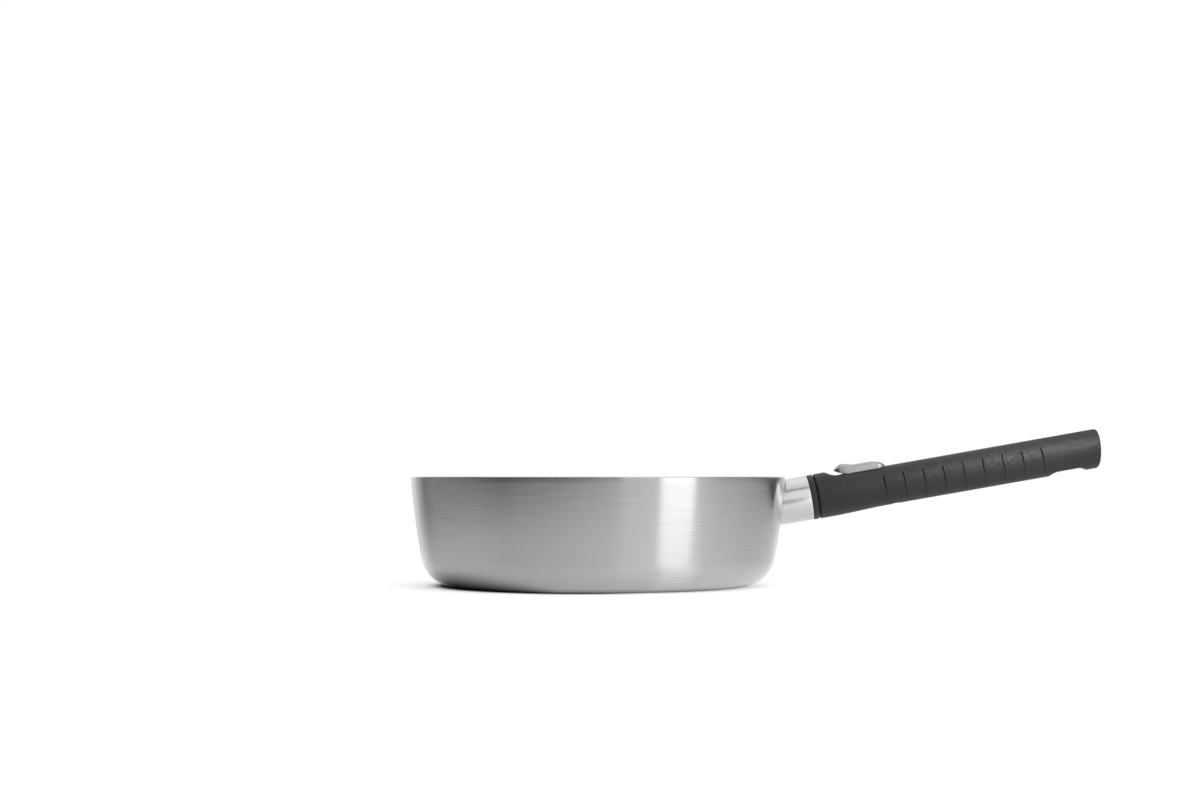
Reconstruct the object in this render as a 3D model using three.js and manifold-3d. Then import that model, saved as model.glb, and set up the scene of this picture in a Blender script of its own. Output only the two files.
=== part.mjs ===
// Deep frying pan with a pull-off handle, in millimetres, +Z up.
// The origin is the centre of the base on the hob, and the handle points along +X.
import * as THREE from 'three';
import { mergeVertices } from 'three/addons/utils/BufferGeometryUtils.js';
import Module from 'manifold-3d';

const wasm = await Module();
wasm.setup();

const radians = THREE.MathUtils.degToRad;

// Vessel: one drawn sheet, nominally 24 cm across the inside of the rim
const RIM_RADIUS = 122.5;
const PAN_HEIGHT = 71;
const PAN_WALL = 2.5;
const CORNER_RADIUS = 22;
const RIM_DRAFT = radians(5);
const CORNER_DRAFT = radians(10.3);
const RIM_ROUND = 0.7;

// Handle axis, which crosses the rim's radius below the rim
const HANDLE_TILT = radians(10);
const AXIS_BELOW_RIM = 17.4;

// Clearances between pieces that touch and pieces that slide
const SEAT_GAP = 0.3;
const SLIDE_GAP = 0.3;

// Ferrule and collar stay on the pan; their centre lies a little above the grip's
const HEAD_LIFT = 0.85;
const FERRULE_TAPER = 0.35;
const FERRULE_WALL = 1.8;
const FERRULE_REACH = 16.8;
const FERRULE_CHAMFER = 0.4;
const COLLAR_LENGTH = 3.75;
const COLLAR_SHOULDER = 2.8;
const COLLAR_ROUND = 0.35;
const COLLAR_PLUG = 6;
const NOSE_LENGTH = 3.8;
const NOSE_WALL = 1.4;
const RETAINER_RIM = 1.2;
const RETAINER_THICKNESS = 1;

// Spigot: a steel tongue on a saddle foot
const TONGUE_WIDTH = 10;
const TONGUE_HEIGHT = 8;
const TONGUE_TOP = 1.5;
const TONGUE_REACH = 45;
const TONGUE_CHAMFER = 1.5;
const LEAD_RAMP = 7;
const FOOT_THICKNESS = 4.5;
const FOOT_CLEARANCE = 1;

// Grip: black moulding, round at the head and slightly oval behind it
const PARTING_GAP = 1;
const GRIP_LENGTH = 186.75;
const GRIP_HEIGHT = 25.5;
const GRIP_WIDTH = 25.2;
const HEAD_PROUD = 0.1;
const HEAD_LENGTH = 7.8;
const TAPER_LENGTH = 45;
const TOP_TAPER_LENGTH = 22.5;
const FRONT_ROUND = 0.5;
const END_ROUND = 1.8;
const END_LEAN = radians(7);
const END_LEAN_LENGTH = 30;

// Finger scoop in front of the latch
const SCOOP_RADIUS = 13.3;
const SCOOP_AT = 16.4;
const SCOOP_DEPTH = 0.6;

// Side grooves, cut by a disc that runs out towards the underside
const GROOVE_COUNT = 9;
const GROOVE_FIRST = 43.85;
const GROOVE_PITCH = 13.04;
const GROOVE_WIDTH = 0.8;
const GROOVE_DEPTH = 0.9;
const GROOVE_TOP = 6.3;

// Underside recess near the end, with the pocket that a hook goes into
const RECESS_FROM_END = 9.6;
const RECESS_LENGTH = 18.4;
const RECESS_RAMP = 6.7;
const RECESS_STEP = 3;
const RECESS_DEPTH = 2.15;
const RECESS_SWEEP = 0.3;
const HANG_WIDTH = 9;
const HANG_LENGTH = 15;
const HANG_DEPTH = 13;

// Socket inside the grip
const MOUTH_THICKNESS = 1.5;
const MOUTH_CLEARANCE = 0.4;
const SLEEVE_WALL = 1.2;
const SCREW_RADIUS = 1.5;
const SCREW_HEAD_RADIUS = 2.9;
const SCREW_HEAD_HEIGHT = 1.8;
const NUT_RADIUS = 3.4;
const NUT_HEIGHT = 2.4;
const NUT_CLEARANCE = 1.4;

// Locking leaf and its rivet, which sits behind the tongue's tip, over the sleeve's screw
const LEAF_WIDTH = 7.4;
const LEAF_THICKNESS = 0.8;
const TOOTH_AT = 23.1;
const TOOTH_LENGTH = 4.2;
const TOOTH_DEPTH = 2.7;
const LEAF_NOSE = 6;
const RIVET_FROM_END = 6.5;
const RIVET_RADIUS = 1.3;
const RIVET_HEAD_RADIUS = 2.3;
const RIVET_HEAD_HEIGHT = 0.8;

// Latch: a finger piece on the grip's crest, riveted through a slot to a steel slide
const LATCH_AT = 13.55;
const LATCH_LENGTH = 33.8;
const LATCH_WIDTH = 9.6;
const LATCH_TRAVEL = 6;
const LATCH_RISE = 4.5;
const LATCH_REAR_RISE = 0.5;
const LATCH_REAR_CURVE = 8.8;
const LATCH_REAR_INSET = 1.4;
const LATCH_REAR_DROP = 1;
const DISH_AT = 14.2;
const LIP_RISE = 6.15;
const LIP_TIP_RISE = 2.75;
const LIP_CROWN = 5.4;
const LIP_FACE = 3.7;
const LIP_OVERHANG = 8.4;
const LIP_UNDERSIDE = 0.7;
const SKIRT_DROP = 1.6;
const STEM_AT = 13.9;
const STEM_LENGTH = 11;
const STEM_WIDTH = 6;
const PLATE_WIDTH = 11;
const PLATE_THICKNESS = 1;
const HOOK_WIDTH = 6;
const WEDGE_TIP = 0.4;
const LATCH_RIVET_RADIUS = 0.9;
const LATCH_RIVET_HEAD_RADIUS = 1.8;

// Return spring and the pin that guides it
const SPRING_RADIUS = 1.45;
const SPRING_WIRE = 0.5;
const SPRING_TURNS = 9;
const PEG_CLEARANCE = 0.4;
const PEG_LENGTH = 6;

// Facets
const PAN_FACETS = 64;
const GRIP_FACETS = 40;
const SMALL_FACETS = 16;
const CORNER_STEPS = 6;
const WALL_STEPS = 4;
const ROUND_STEPS = 3;
const TAPER_STEPS = 6;
const GROOVE_STEPS = 10;
const CURVE_STEPS = 8;
const SPRING_STEPS = 8;
const SPRING_SIDES = 6;
const MERGE_TOLERANCE = 1e-4;
const OVERCUT = 2;

// Stations along the handle, counted from where its axis crosses the rim's radius
const ferruleEnd = FERRULE_REACH;
const collarStart = ferruleEnd + SEAT_GAP;
const collarEnd = ferruleEnd + COLLAR_LENGTH;
const noseEnd = collarEnd + NOSE_LENGTH;
const gripFront = collarEnd + PARTING_GAP;
const gripEnd = gripFront + GRIP_LENGTH;
const mouthStart = noseEnd + SEAT_GAP;
const mouthEnd = mouthStart + MOUTH_THICKNESS;
const counterboreEnd = mouthEnd + SEAT_GAP;
const sleeveStart = counterboreEnd;
const tongueTip = gripFront + TONGUE_REACH;
const rivetStation = tongueTip + NUT_CLEARANCE + NUT_RADIUS;
const sleeveEnd = rivetStation + RIVET_FROM_END;
const pocketEnd = sleeveEnd + SEAT_GAP;
const toothStart = gripFront + TOOTH_AT;
const toothEnd = toothStart + TOOTH_LENGTH;
const leafStart = toothStart - LEAF_NOSE;
const leafEnd = rivetStation + RIVET_HEAD_RADIUS + SEAT_GAP;
const latchTip = gripFront + LATCH_AT;
const latchEnd = latchTip + LATCH_LENGTH;
const stemStart = latchTip + STEM_AT;
const stemEnd = stemStart + STEM_LENGTH;
const wedgeEnd = leafStart - SLIDE_GAP;
const wedgeStart = wedgeEnd - LATCH_TRAVEL;
const hookStart = wedgeStart - PLATE_THICKNESS;
const lugStart = stemEnd + LATCH_TRAVEL / 2;
const lugEnd = lugStart + PLATE_THICKNESS;

// Heights above the handle's axis
const crest = GRIP_HEIGHT / 2;
const tongueLow = TONGUE_TOP - TONGUE_HEIGHT;
const sleeveInnerTop = TONGUE_TOP + SLIDE_GAP;
const sleeveInnerLow = tongueLow - SLIDE_GAP;
const sleeveTop = sleeveInnerTop + SLEEVE_WALL;
const sleeveLow = sleeveInnerLow - SLEEVE_WALL;
const leafLow = sleeveTop + SEAT_GAP;
const leafTop = leafLow + LEAF_THICKNESS;
const rivetTop = leafTop + SEAT_GAP + RIVET_HEAD_HEIGHT;
const springOuter = SPRING_RADIUS + SPRING_WIRE / 2;
const springAxis = rivetTop + SEAT_GAP + springOuter;
const plateTop = springAxis + springOuter;
const plateLow = plateTop - PLATE_THICKNESS;
const roof = plateTop + SLIDE_GAP;
const toothLow = TONGUE_TOP - TOOTH_DEPTH;

// Half widths and radii that neighbouring pieces share
const retainerRadius = Math.hypot(TONGUE_WIDTH / 2, HEAD_LIFT - tongueLow) + RETAINER_RIM;
const noseRadius = retainerRadius + SEAT_GAP + NOSE_WALL;
const counterboreRadius = noseRadius + MOUTH_CLEARANCE;
const ferruleRadius = noseRadius + COLLAR_SHOULDER;
const boreRadius = ferruleRadius - FERRULE_WALL;
const headRadius = ferruleRadius + HEAD_PROUD;
const pegRadius = SPRING_RADIUS - SPRING_WIRE / 2 - PEG_CLEARANCE;
const sleeveInnerHalf = TONGUE_WIDTH / 2 + SLIDE_GAP;
const sleeveHalf = sleeveInnerHalf + SLEEVE_WALL;
const plateHalf = PLATE_WIDTH / 2;

// The three directions of a section outline: across, up, along
const SECTION_TO_HANDLE = new THREE.Matrix4().makeBasis(
  new THREE.Vector3(0, 1, 0),
  new THREE.Vector3(0, 0, 1),
  new THREE.Vector3(1, 0, 0),
);

const steel = new THREE.MeshStandardMaterial({ color: 0xb4b4b2, roughness: 0.35, metalness: 1 });
const satin = new THREE.MeshStandardMaterial({ color: 0xc9c9c7, roughness: 0.3, metalness: 1 });
const phenolic = new THREE.MeshStandardMaterial({ color: 0x303030, roughness: 0.55, metalness: 0 });
const latchGrey = new THREE.MeshStandardMaterial({ color: 0xa9abac, roughness: 0.4, metalness: 0.7 });
const springSteel = new THREE.MeshStandardMaterial({ color: 0x8f9193, roughness: 0.3, metalness: 1 });

// A closed geometry as a solid that can be cut and joined
function solid(geometry) {
  const bare = geometry.clone();
  bare.deleteAttribute('normal');
  bare.deleteAttribute('uv');
  const merged = mergeVertices(bare, MERGE_TOLERANCE);
  const corners = merged.index.array;
  const triangles = [];
  for (let i = 0; i < corners.length; i += 3) {
    const [a, b, c] = corners.subarray(i, i + 3);
    if (a !== b && b !== c && c !== a) {
      triangles.push(a, b, c);
    }
  }
  return new wasm.Manifold(new wasm.Mesh({
    numProp: 3,
    vertProperties: merged.attributes.position.array,
    triVerts: new Uint32Array(triangles),
  }));
}

// A solid as a named mesh of the scene
function piece(name, body, material) {
  const cut = body.getMesh();
  const geometry = new THREE.BufferGeometry();
  geometry.setAttribute('position', new THREE.BufferAttribute(cut.vertProperties, 3));
  geometry.setIndex(new THREE.BufferAttribute(cut.triVerts, 1));
  geometry.computeVertexNormals();
  const mesh = new THREE.Mesh(geometry, material);
  mesh.name = name;
  return mesh;
}

function at(x, y) {
  return new THREE.Vector2(x, y);
}

// A list of [x, y] pairs as points
function points(...pairs) {
  return pairs.map(([x, y]) => at(x, y));
}

// Evenly spaced values from one up to, but not including, another
function spread(from, to, steps) {
  return Array.from({ length: steps }, (_, i) => THREE.MathUtils.lerp(from, to, i / steps));
}

function arc(x, y, radius, from, to, steps) {
  return new THREE.EllipseCurve(x, y, radius, radius, from, to, to < from).getPoints(steps);
}

function outline(...pairs) {
  return new THREE.Shape(points(...pairs));
}

function block(from, to, half, low, high) {
  const box = new THREE.BoxGeometry(to - from, 2 * half, high - low);
  return solid(box.translate((from + to) / 2, 0, (low + high) / 2));
}

// A profile of (radius, height) turned about a vertical axis
function turnedUpright(profile, facets) {
  return solid(new THREE.LatheGeometry(profile, facets).rotateX(Math.PI / 2));
}

// A profile of (radius, station) turned about the handle's axis
function turnedAlong(profile, facets) {
  return solid(new THREE.LatheGeometry(profile, facets).rotateZ(-Math.PI / 2));
}

// A plain round bar along the handle, and one that stands upright at a station
function barAlong(radius, from, to, facets = SMALL_FACETS) {
  return turnedAlong(points([0, from], [radius, from], [radius, to], [0, to]), facets);
}

function barUpright(station, radius, low, high, facets = SMALL_FACETS) {
  const profile = points([0, low], [radius, low], [radius, high], [0, high]);
  return turnedUpright(profile, facets).translate(station, 0, 0);
}

// A drilled hole through a wall, for a shank of a given radius
function drilled(station, radius, low, high) {
  return barUpright(station, radius + SEAT_GAP, low - OVERCUT, high + OVERCUT);
}

// A side outline of (station, height) given a width across the handle
function acrossHandle(shape, width, curveSegments = CURVE_STEPS) {
  const settings = { depth: width, bevelEnabled: false, curveSegments };
  return solid(new THREE.ExtrudeGeometry(shape, settings).rotateX(Math.PI / 2).translate(0, width / 2, 0));
}

// A section outline of (across, height) carried along the handle
function alongHandle(shape, from, to, curveSegments = CURVE_STEPS) {
  const settings = { depth: to - from, bevelEnabled: false, curveSegments };
  const bar = new THREE.ExtrudeGeometry(shape, settings);
  return solid(bar.applyMatrix4(SECTION_TO_HANDLE).translate(from, 0, 0));
}

// A plan outline of (station, across) raised from one height to another
function raised(shape, low, high, curveSegments = CURVE_STEPS) {
  const settings = { depth: high - low, bevelEnabled: false, curveSegments };
  return solid(new THREE.ExtrudeGeometry(shape, settings).translate(0, 0, low));
}

// A slot with round ends, in plan
function stadium(from, to, half) {
  const shape = new THREE.Shape();
  shape.absarc(from + half, 0, half, Math.PI / 2, Math.PI * 1.5, false);
  shape.absarc(to - half, 0, half, -Math.PI / 2, Math.PI / 2, false);
  return shape;
}

// The wall's two arcs: the base corner, and the long arc that stands up from it to the rim
const cornerTop = CORNER_RADIUS * (1 - Math.sin(CORNER_DRAFT));
const wallRadius = (PAN_HEIGHT - cornerTop) / (Math.sin(CORNER_DRAFT) - Math.sin(RIM_DRAFT));
const cornerCentre = at(
  RIM_RADIUS - (CORNER_RADIUS - wallRadius) * Math.cos(CORNER_DRAFT) - wallRadius * Math.cos(RIM_DRAFT),
  CORNER_RADIUS,
);
const wallCentre = at(
  cornerCentre.x + (CORNER_RADIUS - wallRadius) * Math.cos(CORNER_DRAFT),
  cornerCentre.y - (CORNER_RADIUS - wallRadius) * Math.sin(CORNER_DRAFT),
);

// Both arcs at an offset from the outside of the sheet, from the base up to a height
function wallPoints(offset, top) {
  const corner = CORNER_RADIUS + offset;
  const wall = wallRadius + offset;
  const topAngle = Math.asin((top - wallCentre.y) / wall);
  return [
    ...arc(cornerCentre.x, cornerCentre.y, corner, -Math.PI / 2, -CORNER_DRAFT, CORNER_STEPS),
    ...arc(wallCentre.x, wallCentre.y, wall, -CORNER_DRAFT, topAngle, WALL_STEPS),
  ];
}

// A rounded edge from one point to another round the corner between them
function rounded(from, corner, to) {
  return new THREE.QuadraticBezierCurve(from, corner, to).getPoints(ROUND_STEPS);
}

function panBody() {
  const shoulder = PAN_HEIGHT - RIM_ROUND;
  const outside = wallPoints(0, shoulder);
  const inside = wallPoints(-PAN_WALL, shoulder).reverse();
  const outer = outside.at(-1);
  const inner = inside[0];
  const rim = [
    ...rounded(outer, at(outer.x, PAN_HEIGHT), at(outer.x - RIM_ROUND, PAN_HEIGHT)),
    ...rounded(at(inner.x + RIM_ROUND, PAN_HEIGHT), at(inner.x, PAN_HEIGHT), inner),
  ];
  const profile = [
    at(0, 0),
    ...outside,
    ...rim,
    ...inside,
    at(0, PAN_WALL),
  ];
  return turnedUpright(profile, PAN_FACETS);
}

// The handle's own frame: +X along its axis, +Z up from it
const handle = new THREE.Group();
handle.position.set(RIM_RADIUS, 0, PAN_HEIGHT - AXIS_BELOW_RIM);
handle.rotation.y = -HANDLE_TILT;
handle.updateMatrix();

// The pan's outside, grown by the seat gap and filled, which cuts what is fitted to the wall
function panSeat() {
  const wall = wallPoints(SEAT_GAP, PAN_HEIGHT);
  const top = PAN_HEIGHT + 2 * ferruleRadius;
  const profile = [
    at(0, -SEAT_GAP),
    ...wall,
    at(wall.at(-1).x, top),
    at(0, top),
  ];
  const seat = new THREE.LatheGeometry(profile, PAN_FACETS).rotateX(Math.PI / 2);
  return solid(seat.applyMatrix4(handle.matrix.clone().invert()));
}

// Where pieces fitted to the wall start before they are cut, well inside the pan
const insideWall = -ferruleRadius;

function ferrule() {
  const nearRadius = ferruleRadius - FERRULE_TAPER;
  const profile = points(
    [boreRadius, insideWall],
    [nearRadius, insideWall],
    [ferruleRadius, ferruleEnd - FERRULE_CHAMFER],
    [ferruleRadius - FERRULE_CHAMFER, ferruleEnd],
    [boreRadius, ferruleEnd],
    [boreRadius, insideWall],
  );
  const tube = turnedAlong(profile, GRIP_FACETS);
  return tube.translate(0, 0, HEAD_LIFT).subtract(panSeat());
}

function collar() {
  const plugRadius = boreRadius - SEAT_GAP;
  const rimInner = ferruleRadius - COLLAR_ROUND;
  const recessRadius = retainerRadius + SEAT_GAP;
  const recessFloor = noseEnd - RETAINER_THICKNESS - 2 * SEAT_GAP;
  const profile = points(
    [0, ferruleEnd - COLLAR_PLUG],
    [plugRadius, ferruleEnd - COLLAR_PLUG],
    [plugRadius, collarStart],
    [rimInner, collarStart],
    [ferruleRadius, collarStart + COLLAR_ROUND],
    [ferruleRadius, collarEnd - COLLAR_ROUND],
    [rimInner, collarEnd],
    [noseRadius, collarEnd],
    [noseRadius, noseEnd],
    [recessRadius, noseEnd],
    [recessRadius, recessFloor],
    [0, recessFloor],
  );
  const ring = turnedAlong(profile, GRIP_FACETS);
  return ring.translate(0, 0, HEAD_LIFT).subtract(tongueHole(ferruleEnd - COLLAR_PLUG, noseEnd, SEAT_GAP));
}

// A rectangular hole for the tongue, with a clearance all round
function tongueHole(from, to, clearance) {
  return block(
    from - OVERCUT,
    to + OVERCUT,
    TONGUE_WIDTH / 2 + clearance,
    tongueLow - clearance,
    TONGUE_TOP + clearance,
  );
}

function retainingPlate() {
  const start = noseEnd - RETAINER_THICKNESS - SEAT_GAP;
  const disc = barAlong(retainerRadius, start, start + RETAINER_THICKNESS, GRIP_FACETS);
  return disc.translate(0, 0, HEAD_LIFT).subtract(tongueHole(start, noseEnd, SEAT_GAP));
}

// The tongue's top is ramped at the tip, to lift the leaf's tooth, and notched behind the ramp
function spigot() {
  const notchFloor = toothLow - SEAT_GAP;
  const tongue = acrossHandle(outline(
    [insideWall, tongueLow],
    [tongueTip - TONGUE_CHAMFER, tongueLow],
    [tongueTip, tongueLow + TONGUE_CHAMFER],
    [tongueTip, notchFloor],
    [tongueTip - LEAD_RAMP, TONGUE_TOP],
    [toothEnd + SEAT_GAP, TONGUE_TOP],
    [toothEnd + SEAT_GAP, notchFloor],
    [toothStart - SEAT_GAP, notchFloor],
    [toothStart - SEAT_GAP, TONGUE_TOP],
    [insideWall, TONGUE_TOP],
  ), TONGUE_WIDTH);
  const foot = barAlong(boreRadius - FOOT_CLEARANCE, insideWall, FOOT_THICKNESS, GRIP_FACETS);
  return tongue.add(foot.translate(0, 0, HEAD_LIFT)).subtract(panSeat());
}

// How far the head's round section has run into the grip's oval one at a station
function taper(station, length) {
  return THREE.MathUtils.smoothstep(station, gripFront + HEAD_LENGTH, gripFront + length);
}

function gripSection(station) {
  const { lerp } = THREE.MathUtils;
  const long = taper(station, TAPER_LENGTH);
  const short = taper(station, TOP_TAPER_LENGTH);
  return {
    half: lerp(headRadius, GRIP_WIDTH / 2, long),
    top: lerp(headRadius + HEAD_LIFT, crest, short),
    low: lerp(headRadius - HEAD_LIFT, crest, long),
  };
}

// The grip's outside: a turned bar whose sections are then drawn to the head's and the grip's shape,
// and whose end leans back a little less than the handle tilts
function gripForm() {
  const straight = gripEnd - END_LEAN_LENGTH;
  const topTaperEnd = gripFront + TOP_TAPER_LENGTH;
  const taperEnd = gripFront + TAPER_LENGTH;
  const stations = [
    ...spread(gripFront + HEAD_LENGTH, topTaperEnd, TAPER_STEPS),
    ...spread(topTaperEnd, taperEnd, TAPER_STEPS),
    taperEnd,
    straight,
    (straight + gripEnd) / 2,
  ];
  const profile = [
    at(0, gripFront),
    at(1 - FRONT_ROUND / headRadius, gripFront),
    at(1, gripFront + FRONT_ROUND),
    ...stations.map((station) => at(1, station)),
    ...rounded(
      at(1, gripEnd - END_ROUND),
      at(1, gripEnd),
      at(1 - END_ROUND / crest, gripEnd),
    ),
    at(0, gripEnd),
  ];
  const bar = new THREE.LatheGeometry(profile, GRIP_FACETS).rotateZ(-Math.PI / 2);
  const place = bar.attributes.position;
  for (let i = 0; i < place.count; i += 1) {
    const station = place.getX(i);
    const { half, top, low } = gripSection(station);
    const height = place.getZ(i) * (place.getZ(i) > 0 ? top : low);
    const lean = height * Math.tan(END_LEAN) * THREE.MathUtils.smoothstep(station, straight, gripEnd);
    place.setXYZ(i, station + lean, place.getY(i) * half, height);
  }
  return solid(bar);
}

// One groove on one side: the disc's round edge lies a groove's depth inside the grip
function groove(station, side) {
  const half = GRIP_WIDTH / 2;
  const far = half + OVERCUT;
  const from = Math.asin(GROOVE_TOP / crest);
  const disc = new THREE.EllipseCurve(-GROOVE_DEPTH, 0, half, crest, from, -Math.PI / 2, true);
  const edge = disc.getPoints(GROOVE_STEPS);
  const last = edge.at(-1);
  const section = new THREE.Shape([
    ...edge,
    at(last.x, -crest - OVERCUT),
    at(far, -crest - OVERCUT),
    at(far, GROOVE_TOP),
  ].map((point) => at(side * point.x, point.y)));
  return alongHandle(section, station - GROOVE_WIDTH / 2, station + GROOVE_WIDTH / 2);
}

// The room for the socket and the mechanism, cored from the grip's front
function gripCore() {
  const counterbore = barAlong(counterboreRadius, gripFront - OVERCUT, counterboreEnd, GRIP_FACETS);
  const sleeveRoom = block(
    counterboreEnd - OVERCUT / 2,
    pocketEnd,
    sleeveHalf + SEAT_GAP,
    sleeveLow - SEAT_GAP,
    leafTop + SEAT_GAP,
  );
  const slideRoom = block(counterboreEnd - OVERCUT / 2, pocketEnd, plateHalf + SLIDE_GAP, sleeveTop, roof);
  const stemSlot = block(
    stemStart - SLIDE_GAP,
    stemEnd + LATCH_TRAVEL + SLIDE_GAP,
    STEM_WIDTH / 2 + SLIDE_GAP,
    roof - OVERCUT / 2,
    crest + OVERCUT,
  );
  return counterbore.translate(0, 0, HEAD_LIFT).add(sleeveRoom).add(slideRoom).add(stemSlot);
}

function screwHoles() {
  const headTop = SCREW_HEAD_HEIGHT + 2 * SEAT_GAP - crest;
  const shankHole = drilled(rivetStation, SCREW_RADIUS, -crest, sleeveLow);
  const headHole = barUpright(rivetStation, SCREW_HEAD_RADIUS + SEAT_GAP, -crest - OVERCUT, headTop);
  return shankHole.add(headHole);
}

function endRecess() {
  const rear = gripEnd - RECESS_FROM_END;
  const front = rear - RECESS_LENGTH - RECESS_RAMP;
  const floor = RECESS_DEPTH - crest;
  const side = outline(
    [front, -crest - OVERCUT],
    [rear + RECESS_STEP * OVERCUT / RECESS_DEPTH, -crest - OVERCUT],
    [rear - RECESS_STEP, floor],
    [front + RECESS_RAMP, floor],
  );
  side.quadraticCurveTo(front + RECESS_RAMP * RECESS_SWEEP, floor, front, -crest);
  const cut = acrossHandle(side, GRIP_WIDTH + OVERCUT);
  const middle = (front + RECESS_RAMP + rear - RECESS_STEP) / 2;
  const plan = stadium(middle - HANG_LENGTH / 2, middle + HANG_LENGTH / 2, HANG_WIDTH / 2);
  return cut.add(raised(plan, floor - OVERCUT, floor + HANG_DEPTH));
}

function grip() {
  const scoopWidth = 2 * headRadius + OVERCUT;
  const scoop = new THREE.CylinderGeometry(SCOOP_RADIUS, SCOOP_RADIUS, scoopWidth, GRIP_FACETS);
  const scoopHeight = crest - SCOOP_DEPTH + SCOOP_RADIUS;
  let body = gripForm().subtract(gripCore()).subtract(screwHoles()).subtract(endRecess());
  body = body.subtract(solid(scoop.translate(gripFront + SCOOP_AT, 0, scoopHeight)));
  for (let i = 0; i < GROOVE_COUNT; i += 1) {
    const station = gripFront + GROOVE_FIRST + i * GROOVE_PITCH;
    body = body.subtract(groove(station, 1)).subtract(groove(station, -1));
  }
  return body;
}

function mouthPlate() {
  const disc = barAlong(counterboreRadius - SEAT_GAP, mouthStart, mouthEnd, GRIP_FACETS);
  return disc.translate(0, 0, HEAD_LIFT).subtract(tongueHole(mouthStart, mouthEnd, MOUTH_CLEARANCE));
}

// A folded box with a window on top for the tooth and the latch's hook
function socketSleeve() {
  const outer = block(sleeveStart, sleeveEnd, sleeveHalf, sleeveLow, sleeveTop);
  const inner = block(
    sleeveStart - OVERCUT,
    sleeveEnd + OVERCUT,
    sleeveInnerHalf,
    sleeveInnerLow,
    sleeveInnerTop,
  );
  const window = block(
    hookStart - 2 * SLIDE_GAP,
    toothEnd + 2 * SLIDE_GAP,
    LEAF_WIDTH / 2 + SLIDE_GAP,
    sleeveInnerTop - OVERCUT,
    sleeveTop + OVERCUT,
  );
  const rivetHole = drilled(rivetStation, RIVET_RADIUS, sleeveInnerTop, sleeveTop);
  const screwHole = drilled(rivetStation, SCREW_RADIUS, sleeveLow, sleeveInnerLow);
  return outer.subtract(inner).subtract(window).subtract(rivetHole).subtract(screwHole);
}

function clinchNut() {
  const low = sleeveInnerLow + SEAT_GAP;
  const hexagon = barUpright(rivetStation, NUT_RADIUS, low, low + NUT_HEIGHT, 6);
  return hexagon.subtract(drilled(rivetStation, SCREW_RADIUS, low, low + NUT_HEIGHT));
}

function sleeveScrew() {
  const headLow = SEAT_GAP - crest;
  const head = barUpright(rivetStation, SCREW_HEAD_RADIUS, headLow, headLow + SCREW_HEAD_HEIGHT);
  const shankTop = sleeveInnerLow + SEAT_GAP + NUT_HEIGHT;
  return head.add(barUpright(rivetStation, SCREW_RADIUS, headLow, shankTop));
}

// A spring strip with its tooth folded down; the tooth's front slopes so that it rides up the tongue's ramp
function lockLeaf() {
  const t = LEAF_THICKNESS;
  const slope = TOOTH_LENGTH / 4;
  const strip = acrossHandle(outline(
    [leafStart, leafLow],
    [toothStart, leafLow],
    [toothStart + slope, toothLow],
    [toothEnd, toothLow],
    [toothEnd, leafLow],
    [leafEnd, leafLow],
    [leafEnd, leafTop],
    [toothEnd - t, leafTop],
    [toothEnd - t, toothLow + t],
    [toothStart + slope + t, toothLow + t],
    [toothStart + t, leafTop],
    [leafStart, leafTop],
  ), LEAF_WIDTH);
  return strip.subtract(drilled(rivetStation, RIVET_RADIUS, leafLow, leafTop));
}

function leafRivet() {
  const lowerTop = sleeveInnerTop - SEAT_GAP;
  const shank = barUpright(rivetStation, RIVET_RADIUS, lowerTop - RIVET_HEAD_HEIGHT, rivetTop);
  const upper = barUpright(rivetStation, RIVET_HEAD_RADIUS, rivetTop - RIVET_HEAD_HEIGHT, rivetTop);
  const lower = barUpright(rivetStation, RIVET_HEAD_RADIUS, lowerTop - RIVET_HEAD_HEIGHT, lowerTop);
  return shank.add(upper).add(lower);
}

const latchRivetStations = [stemStart + STEM_LENGTH / 4, stemEnd - STEM_LENGTH / 4];

// The finger piece seen from the side: a lip that overhangs the scoop, a dished back and a rounded rear
function latchSide() {
  const lip = crest + LIP_RISE;
  const back = crest + LATCH_RISE;
  const dish = latchTip + DISH_AT;
  const crown = latchTip + LIP_CROWN;
  const shape = new THREE.Shape();
  shape.moveTo(latchTip, crest + LIP_TIP_RISE);
  shape.lineTo(latchTip + LIP_FACE, crest + LIP_UNDERSIDE);
  shape.lineTo(latchTip + LIP_OVERHANG, crest - LIP_UNDERSIDE);
  shape.lineTo(latchTip + LIP_OVERHANG, crest - SKIRT_DROP);
  shape.lineTo(latchEnd, crest - SKIRT_DROP);
  shape.lineTo(latchEnd, crest + LATCH_REAR_RISE);
  shape.quadraticCurveTo(
    latchEnd - LATCH_REAR_INSET,
    back - LATCH_REAR_DROP,
    latchEnd - LATCH_REAR_CURVE,
    back,
  );
  shape.lineTo(dish, back);
  shape.bezierCurveTo((dish + crown) / 2, back, (dish + crown) / 2, lip, crown, lip);
  shape.quadraticCurveTo(latchTip + LIP_FACE, lip, latchTip, crest + LIP_TIP_RISE);
  return shape;
}

function latchButton() {
  const plan = stadium(latchTip, latchEnd, LATCH_WIDTH / 2);
  const tall = raised(plan, crest - SKIRT_DROP - OVERCUT, crest + LIP_RISE + OVERCUT);
  const { half } = gripSection(latchTip + LIP_OVERHANG);
  const saddle = new THREE.Shape();
  saddle.absellipse(0, 0, half + SLIDE_GAP, crest + SLIDE_GAP, 0, Math.PI * 2);
  const ride = alongHandle(saddle, latchTip - OVERCUT, latchEnd + OVERCUT, GRIP_FACETS);
  const stem = block(stemStart, stemEnd, STEM_WIDTH / 2, plateTop + SEAT_GAP, crest + LATCH_RISE / 2);
  let body = acrossHandle(latchSide(), LATCH_WIDTH + OVERCUT).intersect(tall).subtract(ride).add(stem);
  for (const station of latchRivetStations) {
    body = body.subtract(barUpright(station, LATCH_RIVET_RADIUS + SEAT_GAP, plateLow, crest + SEAT_GAP));
  }
  return body;
}

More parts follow.
